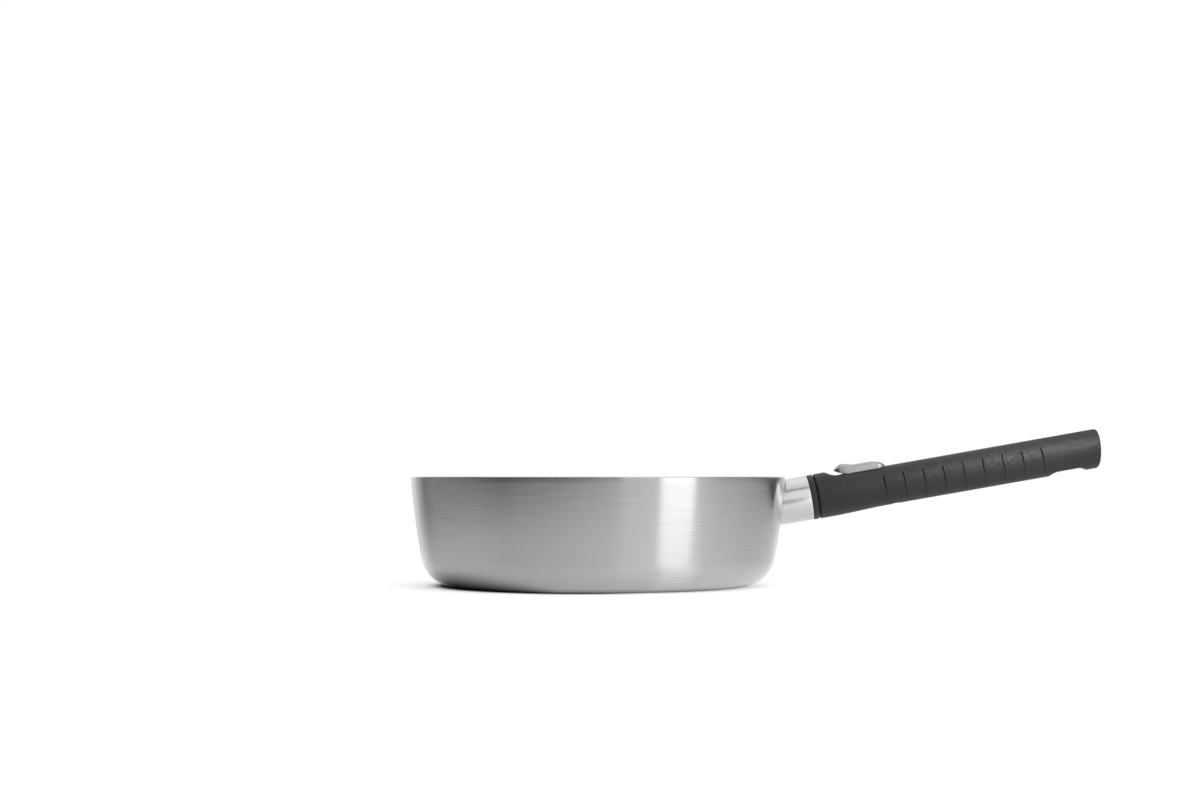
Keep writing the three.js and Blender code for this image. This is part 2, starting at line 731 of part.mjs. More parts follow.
// The slide under the roof: its front hook carries the wedge that lifts the leaf,
// and its rear lug takes the spring
function latchPlate() {
  const wedgeLow = TONGUE_TOP + SLIDE_GAP;
  const hook = acrossHandle(outline(
    [hookStart, wedgeLow],
    [wedgeEnd, wedgeLow],
    [wedgeEnd, wedgeLow + WEDGE_TIP],
    [wedgeStart, leafLow + TOOTH_DEPTH + SEAT_GAP],
    [wedgeStart, plateTop],
    [hookStart, plateTop],
  ), HOOK_WIDTH);
  const plate = block(hookStart, lugEnd, plateHalf, plateLow, plateTop);
  const lug = block(lugStart, lugEnd, HOOK_WIDTH / 2, springAxis - springOuter, plateTop);
  let body = plate.add(hook).add(lug);
  for (const station of latchRivetStations) {
    body = body.subtract(drilled(station, LATCH_RIVET_RADIUS, plateLow, plateTop));
  }
  const pegHole = barAlong(pegRadius + SEAT_GAP, lugStart - OVERCUT / 4, lugEnd + OVERCUT);
  return body.subtract(pegHole.translate(0, 0, springAxis));
}

function latchRivet(station) {
  const headTop = plateLow - SEAT_GAP;
  const head = barUpright(station, LATCH_RIVET_HEAD_RADIUS, headTop - RIVET_HEAD_HEIGHT, headTop);
  return head.add(barUpright(station, LATCH_RIVET_RADIUS, headTop - RIVET_HEAD_HEIGHT, crest));
}

function springPeg() {
  return barAlong(pegRadius, lugStart, lugStart + PEG_LENGTH).translate(0, 0, springAxis);
}

class Helix extends THREE.Curve {
  constructor(from, to) {
    super();
    this.from = from;
    this.to = to;
  }

  getPoint(t, target = new THREE.Vector3()) {
    const turn = t * SPRING_TURNS * Math.PI * 2;
    return target.set(
      THREE.MathUtils.lerp(this.from, this.to, t),
      SPRING_RADIUS * Math.cos(turn),
      springAxis + SPRING_RADIUS * Math.sin(turn),
    );
  }
}

function returnSpring() {
  const wire = SPRING_WIRE / 2;
  const path = new Helix(lugEnd + SEAT_GAP + wire, pocketEnd - SEAT_GAP - wire);
  const section = new THREE.Shape(arc(0, 0, wire, 0, Math.PI * 2, SPRING_SIDES).slice(1));
  const settings = { steps: SPRING_TURNS * SPRING_STEPS, extrudePath: path, bevelEnabled: false };
  return solid(new THREE.ExtrudeGeometry(section, settings));
}

handle.add(
  piece('spigot', spigot(), steel),
  piece('ferrule', ferrule(), satin),
  piece('collar', collar(), phenolic),
  piece('retaining_plate', retainingPlate(), springSteel),
  piece('grip', grip(), phenolic),
  piece('mouth_plate', mouthPlate(), phenolic),
  piece('socket_sleeve', socketSleeve(), steel),
  piece('sleeve_screw', sleeveScrew(), steel),
  piece('clinch_nut', clinchNut(), steel),
  piece('lock_leaf', lockLeaf(), springSteel),
  piece('leaf_rivet', leafRivet(), steel),
  piece('return_spring', returnSpring(), springSteel),
  piece('latch_button', latchButton(), latchGrey),
  piece('latch_plate', latchPlate(), steel),
  piece('latch_rivet_front', latchRivet(latchRivetStations[0]), steel),
  piece('latch_rivet_rear', latchRivet(latchRivetStations[1]), steel),
  piece('spring_peg', springPeg(), steel),
);

const fryingPan = new THREE.Group();
fryingPan.add(piece('pan_body', panBody(), steel), handle);

export default fryingPan;
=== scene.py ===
# %% [markdown]
# # A deep steel frying pan with a pull-off handle
# The pan is a drawn steel vessel. A short metal ferrule and a black collar are fixed to its wall, and a steel
# tongue stands out of them. A black moulded grip slides over the tongue, and a grey latch on top lets it go.
# This lesson makes the looks of each piece around a finished CAD model. The CAD model is the frame: it says
# where every piece is and how it moves, so no piece is placed by eye.

# %% Load the frame
import math

import bmesh
import bpy
from mathutils import Matrix, Vector
from mathutils.bvhtree import BVHTree


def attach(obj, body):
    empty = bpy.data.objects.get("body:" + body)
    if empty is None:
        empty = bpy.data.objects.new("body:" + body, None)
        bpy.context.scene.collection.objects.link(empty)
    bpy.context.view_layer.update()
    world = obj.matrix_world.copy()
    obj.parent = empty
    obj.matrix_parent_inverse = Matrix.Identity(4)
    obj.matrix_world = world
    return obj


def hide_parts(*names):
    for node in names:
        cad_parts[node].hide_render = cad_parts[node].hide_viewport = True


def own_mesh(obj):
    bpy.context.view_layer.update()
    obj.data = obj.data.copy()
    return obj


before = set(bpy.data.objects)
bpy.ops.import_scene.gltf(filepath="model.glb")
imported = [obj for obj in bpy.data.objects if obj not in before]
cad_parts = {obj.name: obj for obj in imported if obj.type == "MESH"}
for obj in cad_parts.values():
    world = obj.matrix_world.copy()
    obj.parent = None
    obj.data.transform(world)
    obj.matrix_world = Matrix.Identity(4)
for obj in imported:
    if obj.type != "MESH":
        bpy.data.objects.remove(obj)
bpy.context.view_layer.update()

# %% [markdown]
# ## The camera
# The photograph was taken level with the rim from well over a metre away, so the rim is a straight line and
# the inside can't be seen. A fairly long lens at that distance gives the same flat perspective. The camera
# stands at the rim's height and is pitched up a little, which puts the pan below the middle of the frame.

# %% Camera
RIM_LEVEL = 0.071
LENS, SENSOR_WIDTH = 61.67, 36
CAMERA_DISTANCE, CAMERA_SIDE, CAMERA_PITCH = 1.35, 0.0013, 2.138
camera_data = bpy.data.cameras.new("studio_camera")
camera_data.lens = LENS
camera_data.sensor_width = SENSOR_WIDTH
camera = bpy.data.objects.new("studio_camera", camera_data)
camera.location = (CAMERA_SIDE, -CAMERA_DISTANCE, RIM_LEVEL)
camera.rotation_euler = (math.radians(90 + CAMERA_PITCH), 0, 0)
bpy.context.collection.objects.link(camera)
bpy.context.scene.camera = camera
bpy.context.scene.view_settings.view_transform = "Standard"
print("camera", LENS, "mm lens,", CAMERA_DISTANCE, "m from the pan's axis")

# %% [markdown]
# ## Two places to draw in
# The vessel stands upright on the origin. The handle's pieces are easier to draw along a level line, so they
# get a frame of their own: x runs along the handle from where its axis crosses the rim's radius, and z is up
# from that axis. One matrix then tilts them up by 10 degrees and moves them onto the pan. All drawing is in
# millimetres, and a second matrix brings it to metres at the end.

# %% Frames
METRES = Matrix.Scale(0.001, 4)
RIM_RADIUS = 122.5
HANDLE_HEIGHT, HANDLE_TILT = 53.6, math.radians(-10)
HANDLE = Matrix.Translation((RIM_RADIUS, 0, HANDLE_HEIGHT)) @ Matrix.Rotation(HANDLE_TILT, 4, "Y")
X_AXIS, Y_AXIS, Z_AXIS = Vector((1, 0, 0)), Vector((0, 1, 0)), Vector((0, 0, 1))
ALONG = HANDLE.to_3x3() @ X_AXIS
print("handle axis", [round(c, 4) for c in ALONG])

# %% [markdown]
# ## Colours and nodes
# A hex colour is what a screen shows, but a shader counts in linear light, so one function converts it. One
# more adds a node: its settings are properties, and each input is either a value or the socket that feeds it.


# %% Helpers for materials
def linear(hexcode):
    """An sRGB hex colour as a linear RGBA list."""
    channels = [int(hexcode[i:i + 2], 16) / 255 for i in (1, 3, 5)]
    return [c / 12.92 if c <= 0.04045 else ((c + 0.055) / 1.055) ** 2.4 for c in channels] + [1]


def add(tree, kind, feeds=None, **settings):
    """Adds one shader node with its settings and links."""
    made = tree.nodes.new("ShaderNode" + kind)
    for name, value in settings.items():
        setattr(made, name, value)
    for socket, value in (feeds or {}).items():
        if isinstance(value, bpy.types.NodeSocket):
            tree.links.new(value, made.inputs[socket])
        else:
            made.inputs[socket].default_value = value
    return made


def new_finish(name, **values):
    """A material with one shader, whose constant values are set on the shader's own sockets."""
    made = bpy.data.materials.new(name)
    made.use_nodes = True
    shader = made.node_tree.nodes["Principled BSDF"]
    for socket, value in values.items():
        shader.inputs[socket.replace("_", " ")].default_value = value
    return made, made.node_tree, shader


print("white is", linear("#ffffff"))

# %% [markdown]
# ## Brushed stainless steel
# The wall was brushed while the pan turned, so its scratches run round the pan, on the wall and on the flat
# of the base alike. Two things make the eye read that. The scratches spread a reflection upwards and
# downwards but hardly sideways, so a lamp becomes a tall band with clean edges: that is the shader's
# anisotropy, turned by a quarter so that its long direction runs up the wall. And the scratches differ a
# little, as fine level streaks. Real scratches are a tenth of a millimetre apart, too fine for the picture,
# so they are drawn 1 mm apart and 30 mm long.
# Radius plus height grows all the way from the middle of the base to the rim, so a noise that is squeezed
# along that sum draws circles on the base and level lines on the wall with the same few nodes.

# %% Brushed stainless steel
STREAK_LENGTH, STREAK_WIDTH = 30, 1
steel, tree, shader = new_finish("brushed_stainless", Metallic=1, Anisotropic=1, Anisotropic_Rotation=0.25)
place = add(tree, "TexCoord")
split = add(tree, "SeparateXYZ", {"Vector": place.outputs["Object"]})
plan = add(tree, "VectorMath", {0: place.outputs["Object"], 1: (1, 1, 0)}, operation="MULTIPLY")
radius = add(tree, "VectorMath", {0: plan.outputs["Vector"]}, operation="LENGTH")
climb = add(tree, "Math", {0: radius.outputs["Value"], 1: split.outputs["Z"]}, operation="ADD")
squeeze = add(tree, "Math", {0: climb.outputs[0], 1: STREAK_LENGTH / STREAK_WIDTH}, operation="MULTIPLY")
streaks = add(tree, "CombineXYZ", {
    "X": split.outputs["X"], "Y": split.outputs["Y"], "Z": squeeze.outputs[0]})
grain = add(tree, "TexNoise", {
    "Vector": streaks.outputs[0], "Scale": 1000 / STREAK_LENGTH, "Detail": 3, "Roughness": 0.5})
# Noise keeps near its middle, so the part that it does use is stretched to the whole range
scratch = add(tree, "MapRange", {"Value": grain.outputs["Fac"], "From Min": 0.3, "From Max": 0.7})
tone = add(tree, "Mix", {
    0: scratch.outputs[0], 6: linear("#c9c9c9"), 7: linear("#cfcfcf")}, data_type="RGBA")
polish = add(tree, "MapRange", {"Value": scratch.outputs[0], "To Min": 0.23, "To Max": 0.25})
tree.links.new(tone.outputs[2], shader.inputs["Base Color"])
tree.links.new(polish.outputs[0], shader.inputs["Roughness"])
print(steel.name, "streaks", STREAK_WIDTH, "mm apart")

# %% [markdown]
# ## Satin metal, phenolic and the other finishes
# The ferrule is turned and satin-finished: its lines run round the handle, so the pattern is laid in the
# handle's frame with a Mapping node that undoes the handle's place and tilt. The grip and collar are black
# phenolic, moulded against a spark-eroded tool. Its matt grain is about a third of a millimetre, drawn at
# 1.5 mm here so that the picture can show it.
# The latch is a satin grey casting. The hidden steel pieces are plain pressed or hardened steel. They share
# one recipe: a grain moves the colour a little and stands up as a relief, and soft clouds of about a
# centimetre move colour and roughness, so that a large face isn't the same all over.

# %% Grained finishes
CLOUD_SIZE = 11.1


def grained(name, dark, light, smooth, rough, size, height, stretch=(1, 1, 1), **values):
    """A finish whose grain has a size and height in millimetres, stretched along the handle's directions."""
    made, tree, shader = new_finish(name, **values)
    place = add(tree, "TexCoord")
    level = add(tree, "Mapping", {
        "Vector": place.outputs["Object"], "Location": HANDLE.translation * 0.001,
        "Rotation": (0, HANDLE_TILT, 0), "Scale": stretch}, vector_type="TEXTURE")
    grain = add(tree, "TexNoise", {
        "Vector": level.outputs[0], "Scale": 1000 / size, "Detail": 3, "Roughness": 0.55})
    cloud = add(tree, "TexNoise", {"Vector": level.outputs[0], "Scale": 1000 / CLOUD_SIZE, "Detail": 2})
    both = add(tree, "Math", {0: grain.outputs["Fac"], 1: cloud.outputs["Fac"]}, operation="MULTIPLY")
    tone = add(tree, "Mix", {0: both.outputs[0], 6: linear(dark), 7: linear(light)}, data_type="RGBA")
    polish = add(tree, "MapRange", {"Value": cloud.outputs["Fac"], "To Min": smooth, "To Max": rough})
    relief = add(tree, "Bump", {
        "Height": grain.outputs["Fac"], "Strength": 0.5, "Distance": height * 0.001})
    tree.links.new(tone.outputs[2], shader.inputs["Base Color"])
    tree.links.new(polish.outputs[0], shader.inputs["Roughness"])
    tree.links.new(relief.outputs[0], shader.inputs["Normal"])
    print(name, "grain", size, "mm")
    return made


satin = grained("satin_metal", "#c9c9c9", "#dcdcdc", smooth=0.16, rough=0.22, size=0.5, height=0.004,
                stretch=(1, 8, 8), Metallic=1)
phenolic = grained("black_phenolic", "#161616", "#282828", smooth=0.5, rough=0.58, size=1.5, height=0.7,
                   IOR=1.5)
latch_grey = grained("satin_grey_casting", "#aeaeae", "#c2c2c2", smooth=0.5, rough=0.6, size=0.4, height=0.01,
                     Metallic=1)
plain_steel = grained("plain_steel", "#a3a3a1", "#bdbdbb", smooth=0.28, rough=0.4, size=0.6, height=0.01,
                      Metallic=1)
spring_steel = grained("spring_steel", "#84868a", "#9c9ea2", smooth=0.22, rough=0.32, size=0.4, height=0.005,
                       Metallic=1)

# %% [markdown]
# ## Drawing an outline
# A turned piece starts as a line in the XZ plane. The line grows one vertex at a time: extruding the last
# vertex gives a straight stretch, and spinning it round a centre gives an arc. Spinning the whole line
# through a full turn then gives the piece, with use_merge to close the seam and a merge of doubles to close
# the poles. A flat piece is the same kind of line, closed, filled and extruded sideways.


# %% Outline helper
def new_verts(made):
    """The vertices among what an operator made."""
    return [g for g in made if isinstance(g, bmesh.types.BMVert)]


def outwards(bm):
    """Makes all faces of a mesh agree, and point outwards where it is closed."""
    bmesh.ops.recalc_face_normals(bm, faces=bm.faces)
    return bm


def extruded(bm, travel):
    """Extrudes all faces of a mesh along a vector, and returns the vertices that moved."""
    moved = new_verts(bmesh.ops.extrude_face_region(bm, geom=bm.faces[:])["geom"])
    bmesh.ops.translate(bm, vec=travel, verts=moved)
    return moved


class Outline:
    """A line in the XZ plane that grows from its last vertex."""

    def __init__(self, x, z):
        self.bm = bmesh.new()
        self.first = self.tip = self.bm.verts.new((x, 0, z))

    def to(self, *places):
        """Draws straight on to each place in turn."""
        for x, z in places:
            self.tip = bmesh.ops.extrude_vert_indiv(self.bm, verts=[self.tip])["verts"][0]
            self.tip.co = (x, 0, z)
        return self

    def arc(self, x, z, degrees, steps):
        """Turns the last vertex round a centre, anticlockwise when x points right and z up."""
        made = bmesh.ops.spin(
            self.bm, geom=[self.tip], cent=(x, 0, z), axis=Y_AXIS, angle=-math.radians(degrees), steps=steps)
        self.tip = new_verts(made["geom_last"])[0]
        return self

    def close(self):
        self.bm.edges.new((self.tip, self.first))
        return self

    def turned(self, axis, steps):
        """Spins the line through a full turn and closes its seam and poles."""
        bm = self.bm
        bmesh.ops.spin(
            bm, geom=bm.verts[:] + bm.edges[:], cent=(0, 0, 0), axis=axis, angle=2 * math.pi, steps=steps,
            use_merge=True)
        bmesh.ops.remove_doubles(bm, verts=bm.verts, dist=1e-4)
        return outwards(bm)

    def across(self, width):
        """Fills a closed line and extrudes it to a width, centred on the line's plane."""
        bm = self.bm
        bmesh.ops.edgeloop_fill(bm, edges=bm.edges)
        extruded(bm, Y_AXIS * width)
        bmesh.ops.translate(bm, vec=Y_AXIS * -width / 2, verts=bm.verts)
        return outwards(bm)


print("outline helper ready")

# %% [markdown]
# ## Tying a piece to the frame
# Every finished mesh gets its place in its vertices, so that the object stays at the origin. Its smooth faces
# keep their sharp edges. Then the frame is told which body it rides on and which CAD node it replaces.


# %% Piece helper
def piece(name, bm, matrix, finish, body, node, sharp=35):
    """Puts a finished mesh in its place, in metres, and ties it to the frame."""
    bmesh.ops.transform(bm, matrix=METRES @ matrix, verts=bm.verts)
    mesh = bpy.data.meshes.new(name)
    bm.to_mesh(mesh)
    bm.free()
    mesh.shade_smooth()
    mesh.set_sharp_from_angle(angle=math.radians(sharp))
    mesh.materials.append(finish)
    made = bpy.data.objects.new(name, mesh)
    bpy.context.collection.objects.link(made)
    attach(made, body)
    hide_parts(node)
    print(name, len(mesh.polygons), "faces")
    return made


print("piece helper ready")

# %% [markdown]
# ## The vessel
# The vessel is one drawn sheet, 2.5 mm thick. Its outside is a flat base, a round corner of 22 mm and one
# long arc that leans out less and less towards the rim. A solidify modifier would give the thickness too, but
# would cut the rim square to the wall. Drawing both skins as one closed line keeps the rim level with rounded
# edges.

# %% Vessel: its arcs
PAN_HEIGHT, PAN_WALL, CORNER_RADIUS, RIM_ROUND = 71, 2.5, 22, 0.7
RIM_DRAFT, CORNER_DRAFT = math.radians(5), math.radians(10.3)
corner_top = CORNER_RADIUS * (1 - math.sin(CORNER_DRAFT))
wall_radius = (PAN_HEIGHT - corner_top) / (math.sin(CORNER_DRAFT) - math.sin(RIM_DRAFT))
offset = CORNER_RADIUS - wall_radius
corner_x = RIM_RADIUS - offset * math.cos(CORNER_DRAFT) - wall_radius * math.cos(RIM_DRAFT)
wall_x = corner_x + offset * math.cos(CORNER_DRAFT)
wall_z = CORNER_RADIUS - offset * math.sin(CORNER_DRAFT)
shoulder = PAN_HEIGHT - RIM_ROUND
draft = math.degrees(CORNER_DRAFT)
outer_top = math.asin((wall_z - shoulder) / wall_radius)
inner_top = math.asin((wall_z - shoulder) / (wall_radius - PAN_WALL))
outer_x = wall_x + wall_radius * math.cos(outer_top)
inner_x = wall_x + (wall_radius - PAN_WALL) * math.cos(inner_top)
print("the wall's arc has a radius of", round(wall_radius), "mm")

# %% [markdown]
# The line starts in the middle of the base, goes up the outside, over the rim and down the inside. Two rings
# on the flat of the base keep its faces from getting too long.

# %% Vessel: the turned sheet
BASE_RINGS = (40, 75)
CORNER_STEPS, WALL_STEPS, RIM_STEPS = 20, 14, 5
line = Outline(0, 0).to(*[(ring, 0) for ring in BASE_RINGS], (corner_x, 0))
line.arc(corner_x, CORNER_RADIUS, 90 - draft, CORNER_STEPS)
line.arc(wall_x, wall_z, draft - math.degrees(outer_top), WALL_STEPS)
line.arc(outer_x - RIM_ROUND, shoulder, 90, RIM_STEPS).to((inner_x + RIM_ROUND, PAN_HEIGHT))
line.arc(inner_x + RIM_ROUND, shoulder, 90, RIM_STEPS)
line.arc(wall_x, wall_z, math.degrees(inner_top) - draft, WALL_STEPS)
line.arc(corner_x, CORNER_RADIUS, draft - 90, CORNER_STEPS)
line.to(*[(ring, PAN_WALL) for ring in reversed(BASE_RINGS)], (0, PAN_WALL))
bm = line.turned(Z_AXIS, steps=192)
wall_tree = BVHTree.FromBMesh(bm)
piece("vessel", bm, Matrix.Identity(4), steel, "pan", "pan_body")

# %% [markdown]
# ## The ferrule
# The ferrule is a thick tube whose near end is cut to sit on the pan's round wall. A Boolean cut would leave
# ragged faces along that saddle. Here the tube is turned first, and then each vertex of its near end is shot
# back along the handle until it meets the wall, less a hair's gap, so the saddle's edge stays one clean loop.

# %% Ferrule
HEAD_RISE = 0.85
HEAD_LIFT = Matrix.Translation((0, 0, HEAD_RISE))
SEAT_GAP, SADDLE_GAP = 0.3, 0.08
FERRULE_RADIUS, FERRULE_BORE, FERRULE_TAPER, FERRULE_END, FERRULE_ROUND = 14.59, 12.79, 0.19, 16.8, 0.4
UNCUT = -4


def meet_wall(bm):
    """Moves the vertices of a piece's uncut end along the handle until they sit on the pan's wall."""
    for vert in bm.verts:
        if abs(vert.co.x - UNCUT) < 0.01:
            spot = wall_tree.ray_cast(HANDLE @ Vector((FERRULE_END, vert.co.y, vert.co.z)), -ALONG)[0]
            vert.co.x = (HANDLE.inverted() @ spot).x + SADDLE_GAP


line = Outline(UNCUT, FERRULE_BORE).to((UNCUT, FERRULE_RADIUS - FERRULE_TAPER))
line.to((FERRULE_END - FERRULE_ROUND, FERRULE_RADIUS))
line.arc(FERRULE_END - FERRULE_ROUND, FERRULE_RADIUS - FERRULE_ROUND, -90, steps=5)
line.to((FERRULE_END, FERRULE_BORE + SEAT_GAP), (FERRULE_END - SEAT_GAP, FERRULE_BORE)).close()
bm = line.turned(X_AXIS, steps=128)
bmesh.ops.transform(bm, matrix=HEAD_LIFT, verts=bm.verts)
meet_wall(bm)
piece("ferrule_sleeve", bm, HANDLE, satin, "pan", "ferrule")

# %% [markdown]
# ## The collar
# The collar is a black ring that keeps the grip away from the hot ferrule. Its plug goes back into the
# ferrule, and its nose goes forward into the grip and centres it. It is turned from one line round its
# section, which is quicker than joining three tubes and leaves no seam between them.

# %% Collar
COLLAR_START, COLLAR_END, COLLAR_ROUND = 17.1, 20.55, 0.35
PLUG_START, PLUG_RADIUS = 10.8, FERRULE_BORE - SEAT_GAP
NOSE_END, NOSE_RADIUS, NOSE_ROUND = 24.35, 11.79, 0.3
TONGUE_BORE = 9.2
RETAINER_RECESS, RETAINER_SEAT = 10.39, NOSE_END - 1.6
edge = FERRULE_RADIUS - COLLAR_ROUND
line = Outline(PLUG_START, TONGUE_BORE).to((PLUG_START, PLUG_RADIUS), (COLLAR_START, PLUG_RADIUS))
line.to((COLLAR_START, edge)).arc(COLLAR_START + COLLAR_ROUND, edge, -90, steps=4)
line.to((COLLAR_END - COLLAR_ROUND, FERRULE_RADIUS)).arc(COLLAR_END - COLLAR_ROUND, edge, -90, steps=4)
line.to((COLLAR_END, NOSE_RADIUS), (NOSE_END - NOSE_ROUND, NOSE_RADIUS))
line.to((NOSE_END, NOSE_RADIUS - NOSE_ROUND), (NOSE_END, RETAINER_RECESS))
line.to((RETAINER_SEAT, RETAINER_RECESS), (RETAINER_SEAT, TONGUE_BORE)).close()
bm = line.turned(X_AXIS, steps=128)
piece("collar_ring", bm, HANDLE @ HEAD_LIFT, phenolic, "pan", "collar")

# %% [markdown]
# ## Two punched plates
# A steel plate is pushed onto the tongue to hold the collar, and a black plate closes the grip's mouth. Both
# are discs with a four-sided hole that clears the tongue. The rim and the hole are drawn as two loops of
# edges, bridged into a face between them, and extruded. A small bevel takes the sharpness off, because no
# pressed edge is perfectly sharp.

# %% Punched plates
TONGUE_HALF, TONGUE_LOW, TONGUE_TOP = 5, -6.5, 1.5
MOUTH_BORE = 12.19
PLATE_EDGE = 0.12


def softened(bm, width):
    """Bevels the edges that bend by more than 50 degrees, by a width in millimetres."""
    sharp = [e for e in bm.edges if e.is_manifold and e.calc_face_angle() > math.radians(50)]
    bmesh.ops.bevel(
        bm, geom=sharp, offset=width, offset_type="OFFSET", segments=2, profile=0.5, affect="EDGES",
        material=-1, clamp_overlap=True)
    return bm


def punched_plate(radius, clearance, start, thickness):
    """A disc with a hole that clears the tongue all round."""
    bm = bmesh.new()
    upright = Matrix.Translation((start, 0, HEAD_RISE)) @ Matrix.Rotation(math.radians(90), 4, "Y")
    bmesh.ops.create_circle(bm, segments=64, radius=radius, matrix=upright)
    half, low, high = TONGUE_HALF + clearance, TONGUE_LOW - clearance, TONGUE_TOP + clearance
    hole = ((-half, low), (half, low), (half, high), (-half, high))
    corners = [bm.verts.new((start, y, z)) for y, z in hole]
    for i, vert in enumerate(corners):
        bm.edges.new((vert, corners[i - 1]))
    bmesh.ops.bridge_loops(bm, edges=bm.edges[:])
    extruded(bm, X_AXIS * thickness)
    return softened(outwards(bm), PLATE_EDGE)


retainer = punched_plate(
    RETAINER_RECESS - SEAT_GAP, clearance=0.3, start=RETAINER_SEAT + SEAT_GAP, thickness=1)
piece("retainer", retainer, HANDLE, spring_steel, "pan", "retaining_plate")
mouth_cover = punched_plate(MOUTH_BORE - SEAT_GAP, clearance=0.4, start=NOSE_END + SEAT_GAP, thickness=1.5)
piece("mouth_cover", mouth_cover, HANDLE, phenolic, "handle", "mouth_plate")

# %% [markdown]
# ## The tongue
# The spigot is a steel bar on a round foot that is welded to the wall inside the ferrule. Its side view says
# it all: a ramp at the tip that lifts the pawl, and a notch that the pawl drops into. That view is drawn,
# filled and extruded to the bar's width, bevelled, and joined to the foot with an exact Boolean.

# %% Boolean helper and the tongue
TONGUE_START, TONGUE_TIP, TIP_CHAMFER, TIP_RAMP, TONGUE_EDGE = 2, 66.55, 1.5, 7, 0.4
NOTCH_START, NOTCH_END, NOTCH_FLOOR = 44.35, 49.15, -1.5
FOOT_RADIUS, FOOT_FACE, FOOT_ROUND = 11.79, 4.5, 0.4


def combined(bm, tool, operation):
    """Joins two meshes, or cuts one with the other, with Blender's exact Boolean."""
    things = []
    for shape in (bm, tool):
        mesh = bpy.data.meshes.new("work")
        shape.to_mesh(mesh)
        shape.free()
        things.append(bpy.data.objects.new("work", mesh))
        bpy.context.collection.objects.link(things[-1])
    step = things[0].modifiers.new("step", "BOOLEAN")
    step.object, step.operation, step.solver = things[1], operation, "EXACT"
    result = bmesh.new()
    result.from_object(things[0], bpy.context.evaluated_depsgraph_get())
    for thing in things:
        bpy.data.meshes.remove(thing.data)
    bmesh.ops.remove_doubles(result, verts=result.verts, dist=1e-4)
    return result


line = Outline(TONGUE_START, TONGUE_LOW)
line.to((TONGUE_TIP - TIP_CHAMFER, TONGUE_LOW), (TONGUE_TIP, TONGUE_LOW + TIP_CHAMFER))
line.to((TONGUE_TIP, NOTCH_FLOOR), (TONGUE_TIP - TIP_RAMP, TONGUE_TOP))
line.to((NOTCH_END, TONGUE_TOP), (NOTCH_END, NOTCH_FLOOR), (NOTCH_START, NOTCH_FLOOR))
line.to((NOTCH_START, TONGUE_TOP), (TONGUE_START, TONGUE_TOP)).close()
bar = softened(line.across(2 * TONGUE_HALF), TONGUE_EDGE)
line = Outline(UNCUT, 0).to((UNCUT, FOOT_RADIUS), (FOOT_FACE - FOOT_ROUND, FOOT_RADIUS))
line.arc(FOOT_FACE - FOOT_ROUND, FOOT_RADIUS - FOOT_ROUND, -90, steps=4).to((FOOT_FACE, 0))
foot = line.turned(X_AXIS, steps=96)
bmesh.ops.transform(foot, matrix=HEAD_LIFT, verts=foot.verts)
meet_wall(foot)
piece("tongue", combined(bar, foot, "UNION"), HANDLE, plain_steel, "pan", "spigot")

# %% [markdown]
# ## The grip's outside
# The grip is one phenolic moulding. It starts as a plain turned bar with a ring of vertices at every station
# that a feature needs, and then each vertex is moved by the same rules that shaped the real tool: the round
# head runs into a slightly oval bar, the end leans, a thumb scoop is milled across the top, nine thin grooves
# are sawn into each side, deepest near their tops and fading out below, and a recess is cut under the end.
# Moving vertices keeps the rings even, where cutting those shapes with Booleans would leave slivers and hard,
# unmoulded edges. First come the rules for the bar, the scoop and the recess.

# %% Grip: bar, scoop and recess
GRIP_FRONT, GRIP_END, CREST, GRIP_HALF, HEAD_RADIUS = 21.55, 208.3, 12.75, 12.6, 14.69
HEAD_LENGTH, TAPER_LENGTH, TOP_TAPER_LENGTH = 7.8, 45, 22.5
SCOOP_AT, SCOOP_RADIUS, SCOOP_FLOOR = GRIP_FRONT + 16.4, 13.3, CREST - 0.6
RECESS_FRONT, RECESS_REAR, RECESS_STEP, RECESS_FLOOR = 173.6, 198.7, 3, -10.6
RAMP_LENGTH, RAMP_SWEEP = 6.7, 0.4
NO_CUT = 99


def ease(value, start, end):
    """Goes smoothly from 0 at the start to 1 at the end."""
    t = min(max((value - start) / (end - start), 0), 1)
    return t * t * (3 - 2 * t)


def grip_section(s):
    """Half width, top and bottom of the moulding at a station."""
    long = ease(s, GRIP_FRONT + HEAD_LENGTH, GRIP_FRONT + TAPER_LENGTH)
    short = ease(s, GRIP_FRONT + HEAD_LENGTH, GRIP_FRONT + TOP_TAPER_LENGTH)
    half = HEAD_RADIUS + (GRIP_HALF - HEAD_RADIUS) * long
    top = HEAD_RADIUS + HEAD_RISE + (CREST - HEAD_RADIUS - HEAD_RISE) * short
    low = HEAD_RADIUS - HEAD_RISE + (CREST - HEAD_RADIUS + HEAD_RISE) * long
    return half, top, low


def scoop_height(s):
    reach = SCOOP_RADIUS ** 2 - (s - SCOOP_AT) ** 2
    return SCOOP_FLOOR + SCOOP_RADIUS - math.sqrt(reach) if reach > 0 else NO_CUT


def recess_height(s):
    """The underside recess: a swept ramp, a flat and a short step."""
    if s < RECESS_FRONT or s > RECESS_REAR:
        return -NO_CUT
    depth = CREST + RECESS_FLOOR
    if s < RECESS_FRONT + RAMP_LENGTH:
        left = 1 - (s - RECESS_FRONT) / RAMP_LENGTH
        lean = 1 + RAMP_SWEEP
        t = (lean - math.sqrt(lean ** 2 - 4 * RAMP_SWEEP * left)) / (2 * RAMP_SWEEP)
        return RECESS_FLOOR - depth * t * t
    return RECESS_FLOOR - depth * max(s - RECESS_REAR + RECESS_STEP, 0) / RECESS_STEP


print("scoop floor at", round(scoop_height(SCOOP_AT), 2), "mm, recess floor at", RECESS_FLOOR, "mm")

# %% [markdown]
# The grooves, the lean of the end and the rounding of the moulded edges are the last rules. A groove is sawn
# straight in from the side: its depth grows just under its top, and then fades towards the underside. Then
# one function moves a vertex of the plain bar by all the rules in turn.

